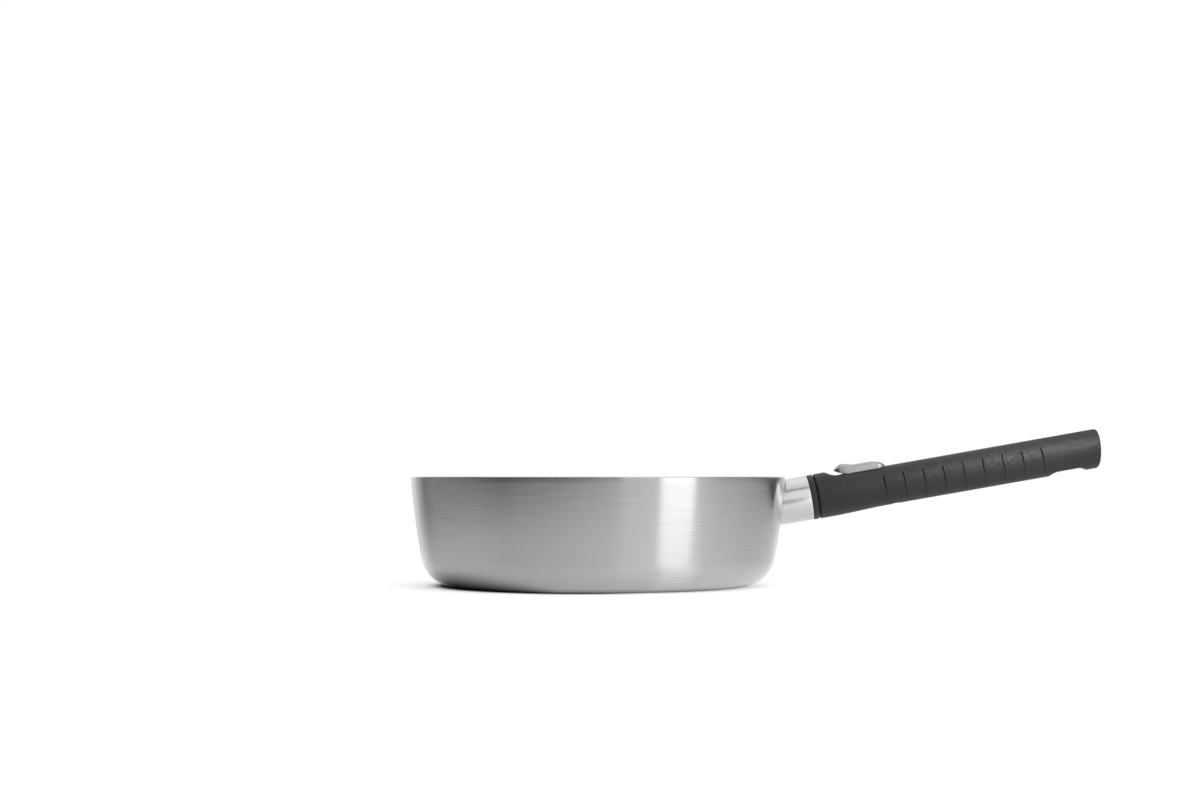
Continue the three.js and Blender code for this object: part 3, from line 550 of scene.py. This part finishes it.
# %% Grip: grooves and soft edges
GROOVE_FIRST, GROOVE_PITCH, GROOVE_COUNT = GRIP_FRONT + 43.85, 13.04, 9
GROOVES = [GROOVE_FIRST + GROOVE_PITCH * i for i in range(GROOVE_COUNT)]
GROOVE_FLOOR, GROOVE_EDGE, GROOVE_DEPTH = 0.33, 0.44, 1.8
GROOVE_TOP, GROOVE_RUN_IN = 6.5, 0.6
GROOVE_FADE, FADE_START, FADE_END = 0.8, 4, -5
END_LEAN, LEAN_LENGTH = math.tan(math.radians(7)), 30
SOFT_EDGE = 0.35


def soft_min(a, b):
    """The lower of two heights, with the edge between them rounded off."""
    h = max(SOFT_EDGE - abs(a - b), 0) / SOFT_EDGE
    return min(a, b) - h * h * SOFT_EDGE / 4


def to_groove(s):
    """The distance from a station to the middle of the nearest groove."""
    return min(abs(s - groove) for groove in GROOVES)


def shape_grip(vert):
    """Moves one vertex of the plain bar by all the rules."""
    s, y, z = vert.co
    half, top, low = grip_section(s)
    y *= half / CREST
    z *= (top if z > 0 else low) / CREST
    near = to_groove(s)
    if near < GROOVE_EDGE and z < GROOVE_TOP:
        depth = GROOVE_DEPTH * ease(GROOVE_TOP - z, 0, GROOVE_RUN_IN)
        depth *= 1 - GROOVE_FADE * ease(-z, -FADE_START, -FADE_END)
        depth *= 1 - ease(near, GROOVE_FLOOR, GROOVE_EDGE)
        y -= math.copysign(min(depth, abs(y)), y)
    s += z * END_LEAN * ease(s, GRIP_END - LEAN_LENGTH, GRIP_END)
    z = soft_min(z, scoop_height(s)) if z > 0 else -soft_min(-z, -recess_height(s))
    vert.co = (s, y, z)


print("grooves at", [round(groove, 1) for groove in GROOVES])

# %% [markdown]
# The stations are close together where a feature bends the surface, which is in the scoop and at both ends of
# the recess, and wide apart elsewhere. A groove needs two rings at each of its edges, a hair apart, so that
# its walls stay steep.

# %% Grip: the bar
FRONT_ROUND, END_ROUND, CAP_RING = 0.5, 2.0, 6
FIRST_RING = GRIP_FRONT + FRONT_ROUND + 0.6
# Each stretch of the bar has the station where it ends and its step
STRETCHES = [
    (28.5, 1.2), (48, 0.5), (172, 1.6), (182, 0.4), (194, 1.2), (202, 0.4), (GRIP_END - END_ROUND, 1.2)]
GROOVE_SIDE, GROOVE_CLEAR = 0.6, 0.75


def span(start, end, step):
    """Even stations from a start up to an end that isn't among them."""
    count = max(1, round((end - start) / step))
    return [start + (end - start) * i / count for i in range(count)]


stations = []
start = FIRST_RING
for end, step in STRETCHES:
    stations += span(start, end, step)
    start = end
stations = [s for s in stations if to_groove(s) > GROOVE_CLEAR]
for groove in GROOVES:
    stations.append(groove)
    for ring in (GROOVE_FLOOR, GROOVE_EDGE, GROOVE_SIDE):
        stations += [groove - ring, groove + ring]
line = Outline(GRIP_FRONT, 0).to((GRIP_FRONT, CAP_RING), (GRIP_FRONT, CREST - FRONT_ROUND))
line.arc(GRIP_FRONT + FRONT_ROUND, CREST - FRONT_ROUND, -90, steps=4)
line.to(*[(s, CREST) for s in sorted(stations)], (GRIP_END - END_ROUND, CREST))
line.arc(GRIP_END - END_ROUND, CREST - END_ROUND, -90, steps=6).to((GRIP_END, CAP_RING), (GRIP_END, 0))
grip_mesh = line.turned(X_AXIS, steps=128)
for vert in grip_mesh.verts:
    shape_grip(vert)
outwards(grip_mesh)
print("grip bar:", len(stations), "stations,", len(grip_mesh.faces), "faces")

# %% [markdown]
# ## The grip's inside
# The moulding is cored from the front for the socket and the latch's slide, and has a slot under the latch, a
# stepped hole for a screw and a pocket for a wall hook underneath. Those have plain walls and crisp edges, so
# here Booleans are the quick and honest way.

# %% Grip: the cores
MOUTH_END, FLARE_RADIUS, FLARE_DEPTH = 26.45, 12.6, 0.4
CUTTER_START, CUTTER_RADIUS = 20, 12.7
CORE_START, CORE_END = 25.45, 78.15
SLIDE_ROOF = 9.2
SCREW_AT, HEAD_HOLE, HEAD_SEAT, SHANK_HOLE = 71.35, 3.2, -10.35, 1.8
HOLE_LOW, HOLE_HIGH = -15, -6


def block(start, end, half, low, high):
    """A box along the handle, as wide on one side of the axis as on the other."""
    bm = bmesh.new()
    near, far = Vector((start, -half, low)), Vector((end, half, high))
    shape = Matrix.Translation((far + near) / 2) @ Matrix.Diagonal((*(far - near), 1))
    bmesh.ops.create_cube(bm, size=1, matrix=shape)
    return bm


def hook_slot(middle, length, width, low, high):
    """An upright slot with round ends: a circle pulled apart, filled and extruded."""
    bm = bmesh.new()
    bmesh.ops.create_circle(bm, segments=40, radius=width / 2, cap_ends=True)
    for vert in bm.verts:
        vert.co.x += math.copysign((length - width) / 2, vert.co.x) + middle
        vert.co.z = low
    extruded(bm, Z_AXIS * (high - low))
    return outwards(bm)


line = Outline(CUTTER_START, 0).to((CUTTER_START, CUTTER_RADIUS), (GRIP_FRONT, FLARE_RADIUS))
line.to((GRIP_FRONT + FLARE_DEPTH, MOUTH_BORE), (MOUTH_END, MOUTH_BORE), (MOUTH_END, 0))
mouth = line.turned(X_AXIS, steps=96)
bmesh.ops.transform(mouth, matrix=HEAD_LIFT, verts=mouth.verts)
line = Outline(0, HOLE_LOW).to((HEAD_HOLE, HOLE_LOW), (HEAD_HOLE, HEAD_SEAT), (SHANK_HOLE, HEAD_SEAT))
screw_hole = line.to((SHANK_HOLE, HOLE_HIGH), (0, HOLE_HIGH)).turned(Z_AXIS, steps=32)
bmesh.ops.translate(screw_hole, vec=X_AXIS * SCREW_AT, verts=screw_hole.verts)
sleeve_core = block(CORE_START, CORE_END, half=6.8, low=-8.3, high=4.4)
slide_core = block(CORE_START, CORE_END, half=5.8, low=3, high=SLIDE_ROOF)
latch_slot = block(start=48.7, end=66.3, half=3.3, low=8.2, high=15)
hook_pocket = hook_slot(middle=188, length=15, width=9, low=-14, high=2.4)
for cutter in (mouth, sleeve_core, slide_core, latch_slot, screw_hole, hook_pocket):
    grip_mesh = combined(grip_mesh, cutter, "DIFFERENCE")
piece("grip_moulding", grip_mesh, HANDLE, phenolic, "handle", "grip", sharp=40)

# %% [markdown]
# ## The latch
# The finger piece is a bar with round ends, a lip that overhangs the scoop and a crowned back. Three rules
# give it: how high its top is along the side view, how low its underside is above the grip's crest that it
# slides on, and how wide its plan is.

# %% Latch: the rules
LATCH_TIP, LATCH_END, LATCH_HALF = 35.1, 68.9, 4.8
LIP_FACE, LIP_CROWN, OVERHANG_END, DISH_END = (LATCH_TIP + d for d in (3.7, 5.4, 8.4, 14.2))
REAR_START, REAR_BEND = LATCH_END - 8.8, LATCH_END - 1.4
LIP_TOP, TIP_HEIGHT, LIP_FOOT, LIP_FALL = CREST + 6.15, CREST + 2.75, CREST + 0.7, 1.4
BACK_TOP, REAR_HEIGHT, REAR_DROP = CREST + 4.5, CREST + 0.5, 1
SADDLE_HEIGHT, SADDLE_ROUND = CREST + 0.3, 13


def bezier(s, a, control, b):
    """The height of a curve from a to b at a station between them, found by halving."""
    low, high = 0.0, 1.0
    for _ in range(40):
        t = (low + high) / 2
        x = (1 - t) ** 2 * a[0] + 2 * t * (1 - t) * control[0] + t * t * b[0]
        low, high = (t, high) if x < s else (low, t)
    return (1 - t) ** 2 * a[1] + 2 * t * (1 - t) * control[1] + t * t * b[1]


def latch_top(s):
    if s < LIP_CROWN:
        return bezier(s, (LATCH_TIP, TIP_HEIGHT), (LIP_FACE, LIP_TOP), (LIP_CROWN, LIP_TOP))
    if s < DISH_END:
        return LIP_TOP + (BACK_TOP - LIP_TOP) * ease(s, LIP_CROWN, DISH_END)
    if s < REAR_START:
        return BACK_TOP
    return bezier(s, (REAR_START, BACK_TOP), (REAR_BEND, BACK_TOP - REAR_DROP), (LATCH_END, REAR_HEIGHT))


def latch_bottom(s, y):
    saddle = SADDLE_HEIGHT * math.sqrt(1 - (y / SADDLE_ROUND) ** 2)
    if s < LIP_FACE:
        lip = TIP_HEIGHT + (LIP_FOOT - TIP_HEIGHT) * (s - LATCH_TIP) / (LIP_FACE - LATCH_TIP)
    else:
        lip = LIP_FOOT - LIP_FALL * (s - LIP_FACE) / (OVERHANG_END - LIP_FACE)
    return max(saddle, lip) if s < OVERHANG_END else saddle


def latch_half(s):
    end = min(s - LATCH_TIP, LATCH_END - s)
    if end >= LATCH_HALF:
        return LATCH_HALF
    return math.sqrt(max(LATCH_HALF ** 2 - (LATCH_HALF - end) ** 2, 0))


print("latch", round(LATCH_END - LATCH_TIP, 1), "mm long,", 2 * LATCH_HALF, "mm wide")

# %% [markdown]
# The finger piece starts as a grid of faces in plan, closer together towards the edges. Each column is
# squeezed to the width the plan has there, the whole is extruded, and then the two layers take their heights
# from the rules, the upper one with a crown across. A stem goes down through the grip's slot, with holes for
# the two rivets that hold the slide.

# %% Latch: the finger piece
ROWS, COLUMNS = 24, 96
CROWN_DROP, THIN_EDGE = 1.9, 0.05
LIP_NARROW, NARROW_LENGTH = 0.55, 9
STEM_START, STEM_END, STEM_HALF, STEM_TOP = 49, 60, 3, CREST + 2
RIVET_STATIONS, RIVET_HOLE, HOLE_FOOT = (51.75, 57.25), 1.2, 7
bm = bmesh.new()
bmesh.ops.create_grid(bm, x_segments=COLUMNS, y_segments=ROWS, size=1)
for vert in bm.verts:
    s = LATCH_TIP + (LATCH_END - LATCH_TIP) * (1 + math.sin(vert.co.x * math.pi / 2)) / 2
    vert.co = (s, latch_half(s) * math.sin(vert.co.y * math.pi / 2), 0)
upper = set(extruded(bm, Z_AXIS))
for vert in bm.verts:
    s, y, _ = vert.co
    under = latch_bottom(s, y)
    if vert in upper:
        crown = CROWN_DROP * (1 - math.sqrt(max(1 - (y / LATCH_HALF) ** 2, 0)))
        vert.co.z = max(latch_top(s) - crown, under + THIN_EDGE)
    else:
        vert.co.z = under
        vert.co.y *= LIP_NARROW + (1 - LIP_NARROW) * ease(s, LATCH_TIP, LATCH_TIP + NARROW_LENGTH)
bmesh.ops.remove_doubles(bm, verts=bm.verts, dist=1e-3)
outwards(bm)
stem = block(STEM_START, STEM_END, STEM_HALF, low=SLIDE_ROOF, high=STEM_TOP)
for station in RIVET_STATIONS:
    line = Outline(0, HOLE_FOOT).to((RIVET_HOLE, HOLE_FOOT), (RIVET_HOLE, SADDLE_HEIGHT), (0, SADDLE_HEIGHT))
    hole = line.turned(Z_AXIS, steps=24)
    bmesh.ops.translate(hole, vec=X_AXIS * station, verts=hole.verts)
    stem = combined(stem, hole, "DIFFERENCE")
bm = combined(bm, stem, "UNION")
piece("latch_finger_piece", bm, HANDLE, latch_grey, "latch", "latch_button", sharp=45)

# %% [markdown]
# ## The coil spring
# A coil spring behind the latch keeps it forward. Spinning a small circle with a step along the axis draws
# the whole coil at once. When the latch is pulled the spring shortens against the end of its pocket.

# %% Spring
SPRING_RADIUS, WIRE, TURNS, SPRING_AXIS = 1.45, 0.25, 9, 7.2
SPRING_START, SPRING_END = 64.55, 77.6
STEPS_PER_TURN = 28
bm = bmesh.new()
bmesh.ops.create_circle(bm, segments=12, radius=WIRE, cap_ends=True,
                        matrix=Matrix.Translation((SPRING_START, SPRING_RADIUS, 0)))
steps = TURNS * STEPS_PER_TURN
section = bm.verts[:] + bm.edges[:] + bm.faces[:]
bmesh.ops.spin(bm, geom=section, cent=(0, 0, 0), axis=X_AXIS, angle=TURNS * 2 * math.pi, steps=steps,
               dvec=X_AXIS * ((SPRING_END - SPRING_START) / steps))
bmesh.ops.translate(bm, vec=Z_AXIS * SPRING_AXIS, verts=bm.verts)
outwards(bm)
spring = piece("return_coil", bm, HANDLE, spring_steel, "handle", "return_spring", sharp=60)
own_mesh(spring)

# %% [markdown]
# ## The pawl
# The pawl is a bent strip of spring steel: an open line, extruded sideways and given its thickness. The
# latch's wedge runs under its nose and bends it up from its rivet.

# %% Pawl
LEAF_WIDTH, LEAF_THICKNESS, LEAF_TOP, LEAF_NOSE, LEAF_TAIL = 7.4, 0.8, 4.1, 38.65, 73.95
TOOTH_RAMP, TOOTH_FRONT, TOOTH_BACK, TOOTH_LOW = 45.45, 46.5, 48.05, -0.4
line = Outline(LEAF_NOSE, LEAF_TOP).to((TOOTH_RAMP, LEAF_TOP), (TOOTH_FRONT, TOOTH_LOW))
line.to((TOOTH_BACK, TOOTH_LOW), (TOOTH_BACK, LEAF_TOP), (LEAF_TAIL, LEAF_TOP))
bm = line.bm
made = bmesh.ops.extrude_edge_only(bm, edges=bm.edges[:])["geom"]
bmesh.ops.translate(bm, vec=Y_AXIS * LEAF_WIDTH, verts=new_verts(made))
bmesh.ops.translate(bm, vec=Y_AXIS * -LEAF_WIDTH / 2, verts=bm.verts)
outwards(bm)
if bm.faces[:][0].normal.z < 0:
    bmesh.ops.reverse_faces(bm, faces=bm.faces)
bmesh.ops.solidify(bm, geom=bm.faces[:], thickness=LEAF_THICKNESS)
outwards(bm)
pawl = piece("pawl", bm, HANDLE, spring_steel, "handle", "lock_leaf", sharp=30)
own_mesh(pawl)

# %% [markdown]
# ## The screw
# One screw under the grip holds the sleeve inside it. It is a turned shape, and a six-sided cone without
# taper, cut out of its head, makes the socket for the key.

# %% Screw
SCREW_FACE, SCREW_SEAT, SCREW_TIP = -12.45, -10.65, -4.1
SCREW_HEAD, SCREW_SHANK, SCREW_ROUND = 2.9, 1.5, 0.3
KEY_RADIUS, KEY_LENGTH, KEY_MIDDLE = 1.5, 3, -12.9
line = Outline(0, SCREW_FACE).to((SCREW_HEAD - SCREW_ROUND, SCREW_FACE))
line.arc(SCREW_HEAD - SCREW_ROUND, SCREW_FACE + SCREW_ROUND, 90, steps=4)
line.to((SCREW_HEAD, SCREW_SEAT), (SCREW_SHANK, SCREW_SEAT), (SCREW_SHANK, SCREW_TIP), (0, SCREW_TIP))
bm = line.turned(Z_AXIS, steps=40)
socket = bmesh.new()
bmesh.ops.create_cone(socket, cap_ends=True, segments=6, radius1=KEY_RADIUS, radius2=KEY_RADIUS,
                      depth=KEY_LENGTH, matrix=Matrix.Translation((0, 0, KEY_MIDDLE)))
bm = combined(bm, socket, "DIFFERENCE")
bmesh.ops.translate(bm, vec=X_AXIS * SCREW_AT, verts=bm.verts)
piece("socket_screw", bm, HANDLE, plain_steel, "handle", "sleeve_screw")

# %% [markdown]
# ## Pieces that stay as the CAD made them
# The folded sleeve, its nut, the rivets, the latch's slide and the spring's pin are plain pressed or turned
# shapes deep inside the grip. Their CAD shape is right, so they only get a finish.

# %% CAD pieces
CAD_PIECES = (
    "socket_sleeve", "clinch_nut", "leaf_rivet", "latch_plate", "latch_rivet_front", "latch_rivet_rear",
    "spring_peg")
for name in CAD_PIECES:
    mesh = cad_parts[name].data
    mesh.materials.clear()
    mesh.materials.append(plain_steel)
    print(name, "keeps its CAD shape")

# %% [markdown]
# ## Studio helpers
# The floor and the flags aren't part of the pan. Their materials start from an empty node tree. What the
# steel mirrors changes with the direction: a radial gradient gives a number for every bearing, and a ramp
# turns it into a grey.


# %% Studio helpers
def stage_finish(name):
    """A material of the studio, with an empty node tree."""
    made = bpy.data.materials.new(name)
    made.use_nodes = True
    made.node_tree.nodes.clear()
    return made, made.node_tree


def stage_piece(name, bm, finish):
    """A piece of the studio, which is not part of the pan."""
    mesh = bpy.data.meshes.new(name)
    bm.to_mesh(mesh)
    bm.free()
    mesh.materials.append(finish)
    made = bpy.data.objects.new(name, mesh)
    bpy.context.collection.objects.link(made)
    return made


def dial(tree, vector, turn, stops):
    """A grey for every bearing: a radial gradient, turned, with stops in degrees from its middle."""
    turned = add(tree, "Mapping", {"Vector": vector, "Rotation": [math.radians(a) for a in turn]})
    bearing = add(tree, "TexGradient", {"Vector": turned.outputs[0]}, gradient_type="RADIAL")
    greys = add(tree, "ValToRGB", {"Fac": bearing.outputs["Fac"]})
    ramp = greys.color_ramp.elements
    while len(ramp) < len(stops):
        ramp.new(0.5)
    for stop, (degrees, grey) in zip(ramp, stops):
        stop.position = 0.5 + degrees / 360
        stop.color = (grey, grey, grey, 1)
    return greys.outputs["Color"]


# A quarter turn makes a dial's middle face the camera: left of it is below zero, right of it above
TO_CAMERA = (0, 0, 90)
print("studio helpers ready")

# %% [markdown]
# ## The floor
# The photograph's floor is white with only a breath of shadow, but the steel mirrors a floor that is bright
# in front of the pan, dark beside it on the left and dark again far out: that light and shade is painted into
# the floor, as a lamp on the right would cast it. So the floor asks who is looking, with Light Path. For the
# camera it is an even white glow with a painted contact shadow: ambient occlusion gives its shape, and a ramp
# along x makes it deep on the left and faint on the right.

# %% Floor: for the camera
floor_finish, tree = stage_finish("white_floor_with_painted_light")
place = add(tree, "TexCoord")
split = add(tree, "SeparateXYZ", {"Vector": place.outputs["Object"]})
# Painted contact shadow: ambient occlusion darkens the floor's glow by the pan, and a ramp along x makes it
# deep on the left and faint on the right
contact = add(tree, "AmbientOcclusion", {"Distance": 0.12}, samples=16)
shut = add(tree, "Math", {0: 1, 1: contact.outputs["AO"]}, operation="SUBTRACT")
curve = add(tree, "Math", {0: shut.outputs[0], 1: 3}, operation="POWER")
depth = add(tree, "MapRange", {
    "Value": split.outputs["X"], "From Min": -0.03, "From Max": 0.03, "To Min": 1.7, "To Max": 0.45})
dark = add(tree, "Math", {0: curve.outputs[0], 1: depth.outputs[0]}, operation="MULTIPLY")
level = add(tree, "MapRange", {"Value": dark.outputs[0], "To Min": 0.95, "To Max": 0})
glow = add(tree, "Emission", {"Color": (1, 1, 1, 1), "Strength": level.outputs[0]})
faint = add(tree, "BsdfDiffuse", {"Color": (0.15, 0.15, 0.15, 1)})
seen = add(tree, "AddShader", {0: faint.outputs[0], 1: glow.outputs[0]})
print("for the camera:", len(tree.nodes), "nodes")

# %% [markdown]
# For the steel the floor is a board that glows, with light and shade painted into its glow. Round the foot of
# the pan it has a painted shadow, which reaches further out on the left. Then it brightens to the right and
# outwards, and ends where the studio's light would end. A painted pool of the strip light brightens one fan
# of it, which opens from behind the wall, as the light's mirror image does. At a low angle the board also
# mirrors the lights faintly.

# %% Floor: for the steel
LIT_MIDDLE = (0.12, 0, 0)
STRIP_IMAGE = (0.01, -0.07, 0)
# The strip light's pool, painted on the floor: a fan of brighter bearings that opens from the strip's mirror
# image
PAINTED_STRIP_POOL = [(37, 1), (43, 1.24), (62, 1.24), (68, 1)]
# Painted light for the steel: the floor's glow is brighter to the right near the pan and goes dark far out
reach = add(tree, "VectorMath", {0: place.outputs["Object"]}, operation="LENGTH")
far = add(tree, "VectorMath", {0: place.outputs["Object"], 1: LIT_MIDDLE}, operation="DISTANCE")
wide = add(tree, "MapRange", {
    "Value": far.outputs["Value"], "From Min": 0.34, "From Max": 0.46, "To Min": 0.97, "To Max": 0.2})
near = add(tree, "MapRange", {
    "Value": split.outputs["X"], "From Min": -0.05, "From Max": 0.1, "To Min": 0.6, "To Max": 0.93})
open_floor = add(tree, "MapRange", {
    "Value": reach.outputs["Value"], "From Min": 0.11, "From Max": 0.17,
    "To Min": near.outputs[0], "To Max": wide.outputs[0]})
# Painted shadow round the foot of the pan, which reaches further out on the left
shade_start = add(tree, "MapRange", {
    "Value": split.outputs["X"], "From Min": -0.1, "From Max": -0.025, "To Min": 0.102, "To Max": 0.094})
shade_end = add(tree, "MapRange", {
    "Value": split.outputs["X"], "From Min": -0.1, "From Max": -0.025, "To Min": 0.128, "To Max": 0.105})
painted_floor_light_and_shade = add(tree, "MapRange", {
    "Value": reach.outputs["Value"], "From Min": shade_start.outputs[0], "From Max": shade_end.outputs[0],
    "To Min": 0, "To Max": open_floor.outputs[0]}, interpolation_type="SMOOTHSTEP")
# Painted pool of the strip light, which brightens one fan of the floor's glow
from_image = add(tree, "VectorMath", {0: place.outputs["Object"], 1: STRIP_IMAGE}, operation="SUBTRACT")
painted_strip_pool = dial(tree, from_image.outputs[0], TO_CAMERA, PAINTED_STRIP_POOL)
fan_start = add(tree, "MapRange", {
    "Value": reach.outputs["Value"], "From Min": 0.097, "From Max": 0.125, "To Min": 1, "To Max": painted_strip_pool})
painted_floor_glow = add(tree, "Emission", {"Color": fan_start.outputs[0], "Strength": painted_floor_light_and_shade.outputs[0]})
sheen = add(tree, "BsdfGlossy", {"Color": (1, 1, 1, 1), "Roughness": 0.15})
grazing = add(tree, "Fresnel", {"IOR": 1.8})
mirrored = add(tree, "MixShader", {0: grazing.outputs[0], 1: painted_floor_glow.outputs[0], 2: sheen.outputs[0]})
print("with the steel's part:", len(tree.nodes), "nodes")

# %% [markdown]
# All other rays, which carry the floor's light to the grip, meet plain white card. The floor itself is one
# large face, so its far edge is out of sight.

# %% Floor: the board
asking = add(tree, "LightPath")
card = add(tree, "BsdfDiffuse", {"Color": (0.8, 0.8, 0.8, 1)})
steel_sees = add(tree, "MixShader", {
    0: asking.outputs["Is Glossy Ray"], 1: card.outputs[0], 2: mirrored.outputs[0]})
choice = add(tree, "MixShader", {
    0: asking.outputs["Is Camera Ray"], 1: steel_sees.outputs[0], 2: seen.outputs[0]})
add(tree, "OutputMaterial", {"Surface": choice.outputs[0]})
bm = bmesh.new()
bmesh.ops.create_grid(bm, x_segments=1, y_segments=1, size=30)
floor = stage_piece("floor", bm, floor_finish)
print("floor", [round(side, 1) for side in floor.dimensions])

# %% [markdown]
# ## What the steel mirrors
# Bright steel shows its surroundings more than itself. In a studio, grey flags and one tall strip light stand
# round a pan to give its wall darker and lighter parts, and behind it the white backdrop makes its two edges
# bright. Here they are painted reflections: one glowing ring of soft greys round the pan, open at the back.
# The strip is the short bright stretch on the right. The ring is cut low there, so that the grip sees the
# lamp over it, and beside that lower still, so that the ferrule sees the white room. Only glossy rays see the
# ring, so it casts neither light nor shadow.

# %% Ring of flags
# Painted reflections: the grey that the glowing ring shows at each bearing, the strip light being the stretch
# of 2
PAINTED_REFLECTION_GREYS = [
    (-140, 0.9), (-127, 0.5), (-118, 0.2), (-107, 0.29), (-71, 0.19), (-51, 0.03), (-19, 0.13), (3, 0.31),
    (20, 0.52), (31, 0.71), (34, 2), (50.8, 2), (53.2, 0.73), (70, 0.48), (90, 0.38), (105, 0.37), (125, 0.5),
    (140, 0.7)]
RING_RADIUS, RING_FOOT, RING_STEP, RING_LOW, RING_HIGH = 0.42, 0.001, 0.11, 0.2, 0.6
OPENING = math.radians(140)
CUTS = [(12, 31, RING_STEP), (31, 70, RING_LOW)]
flags_finish, tree = stage_finish("painted_reflections_of_flags_and_strip")
place = add(tree, "TexCoord")
greys = dial(tree, place.outputs["Object"], TO_CAMERA, PAINTED_REFLECTION_GREYS)
lit = add(tree, "Emission", {"Color": greys, "Strength": 1})
add(tree, "OutputMaterial", {"Surface": lit.outputs[0]})

bm = bmesh.new()
end_x, end_y = -RING_RADIUS * math.sin(OPENING), -RING_RADIUS * math.cos(OPENING)
side = [bm.verts.new((end_x, end_y, z)) for z in (RING_FOOT, RING_STEP, RING_LOW, RING_HIGH)]
posts = [bm.edges.new(pair) for pair in zip(side, side[1:])]
bmesh.ops.spin(bm, geom=side + posts, cent=(0, 0, 0), axis=Z_AXIS, angle=2 * OPENING, steps=112)
cut_away = []
for face in bm.faces:
    middle = face.calc_center_median()
    bearing = math.degrees(math.atan2(middle.x, -middle.y))
    if any(start < bearing < end and middle.z > height for start, end, height in CUTS):
        cut_away.append(face)
bmesh.ops.delete(bm, geom=cut_away, context="FACES")
flags = stage_piece("flags", bm, flags_finish)
for ray in ("camera", "diffuse", "transmission", "volume_scatter", "shadow"):
    setattr(flags, f"visible_{ray}", False)
print("flags", len(flags.data.polygons), "faces")

# %% [markdown]
# ## Lamps
# A tall softbox with a grid stands on the right and draws the soft sheen along the grip. It lights the grip
# from the side, so that the floors of the grooves stay dark. A second one in front gives the form. The steel
# must not mirror that one, so glossy rays don't see it.


# %% Lamps
def softbox(name, place, target, width, height, watts, spread=180):
    """A rectangular lamp that faces a target and isn't seen itself."""
    data = bpy.data.lights.new(name, "AREA")
    data.shape = "RECTANGLE"
    data.size, data.size_y, data.energy, data.spread = width, height, watts, math.radians(spread)
    made = bpy.data.objects.new(name, data)
    made.location = place
    made.rotation_euler = (Vector(target) - Vector(place)).to_track_quat("-Z", "Y").to_euler()
    made.visible_camera = False
    bpy.context.collection.objects.link(made)
    return made


grid = softbox("grid_softbox", place=(0.47, -0.33, 0.38), target=(0.295, 0, 0.085),
               width=0.12, height=0.6, watts=0.36, spread=27)
key = softbox("key_softbox", place=(0.3, -0.62, 0.85), target=(0, 0, 0.03), width=0.5, height=0.5, watts=6.5)
key.visible_glossy = False
print("lit by", grid.name, "and", key.name)

# %% [markdown]
# ## The white room
# A white room fills in. The world is plain white for the camera, dimmer as a light, and for reflections it is
# painted: from the front over the top to the back it runs white, then a dark band like a flag's edge, which
# the round ferrule shows as one thin line, then a ceiling that brightens to the back and falls off again
# behind the pan.

# %% World
ROOM_LIGHT = 0.55
# Painted reflections over the top, seen only by glossy and transmission rays, with a dark band at 55 to 59
# degrees
PAINTED_CEILING = [
    (0, 0.95), (20, 1.15), (40, 1.15), (53, 1.05), (55.5, 0.05), (59, 0.05), (61.5, 0.9), (75, 0.95),
    (95, 1.1), (115, 1.2), (130, 1.15), (150, 0.95)]
# This turn lays the half circle from the front horizon over the top to the back along a dial's upper half
OVER_THE_TOP = (0, 90, 90)
world = bpy.data.worlds.new("white_room")
bpy.context.scene.world = world
world.use_nodes = True
tree = world.node_tree
asking = add(tree, "LightPath")
shiny = add(tree, "Math", {
    0: asking.outputs["Is Glossy Ray"], 1: asking.outputs["Is Transmission Ray"]}, operation="MAXIMUM")
place = add(tree, "TexCoord")
painted_ceiling = dial(tree, place.outputs["Generated"], OVER_THE_TOP, PAINTED_CEILING)
room = add(tree, "MapRange", {"Value": shiny.outputs[0], "To Min": ROOM_LIGHT, "To Max": painted_ceiling})
level = add(tree, "Math", {0: asking.outputs["Is Camera Ray"], 1: room.outputs[0]}, operation="MAXIMUM")
tree.nodes["Background"].inputs["Color"].default_value = (1, 1, 1, 1)
tree.links.new(level.outputs[0], tree.nodes["Background"].inputs["Strength"])
print(world.name, "has", len(PAINTED_CEILING), "stops over the top")
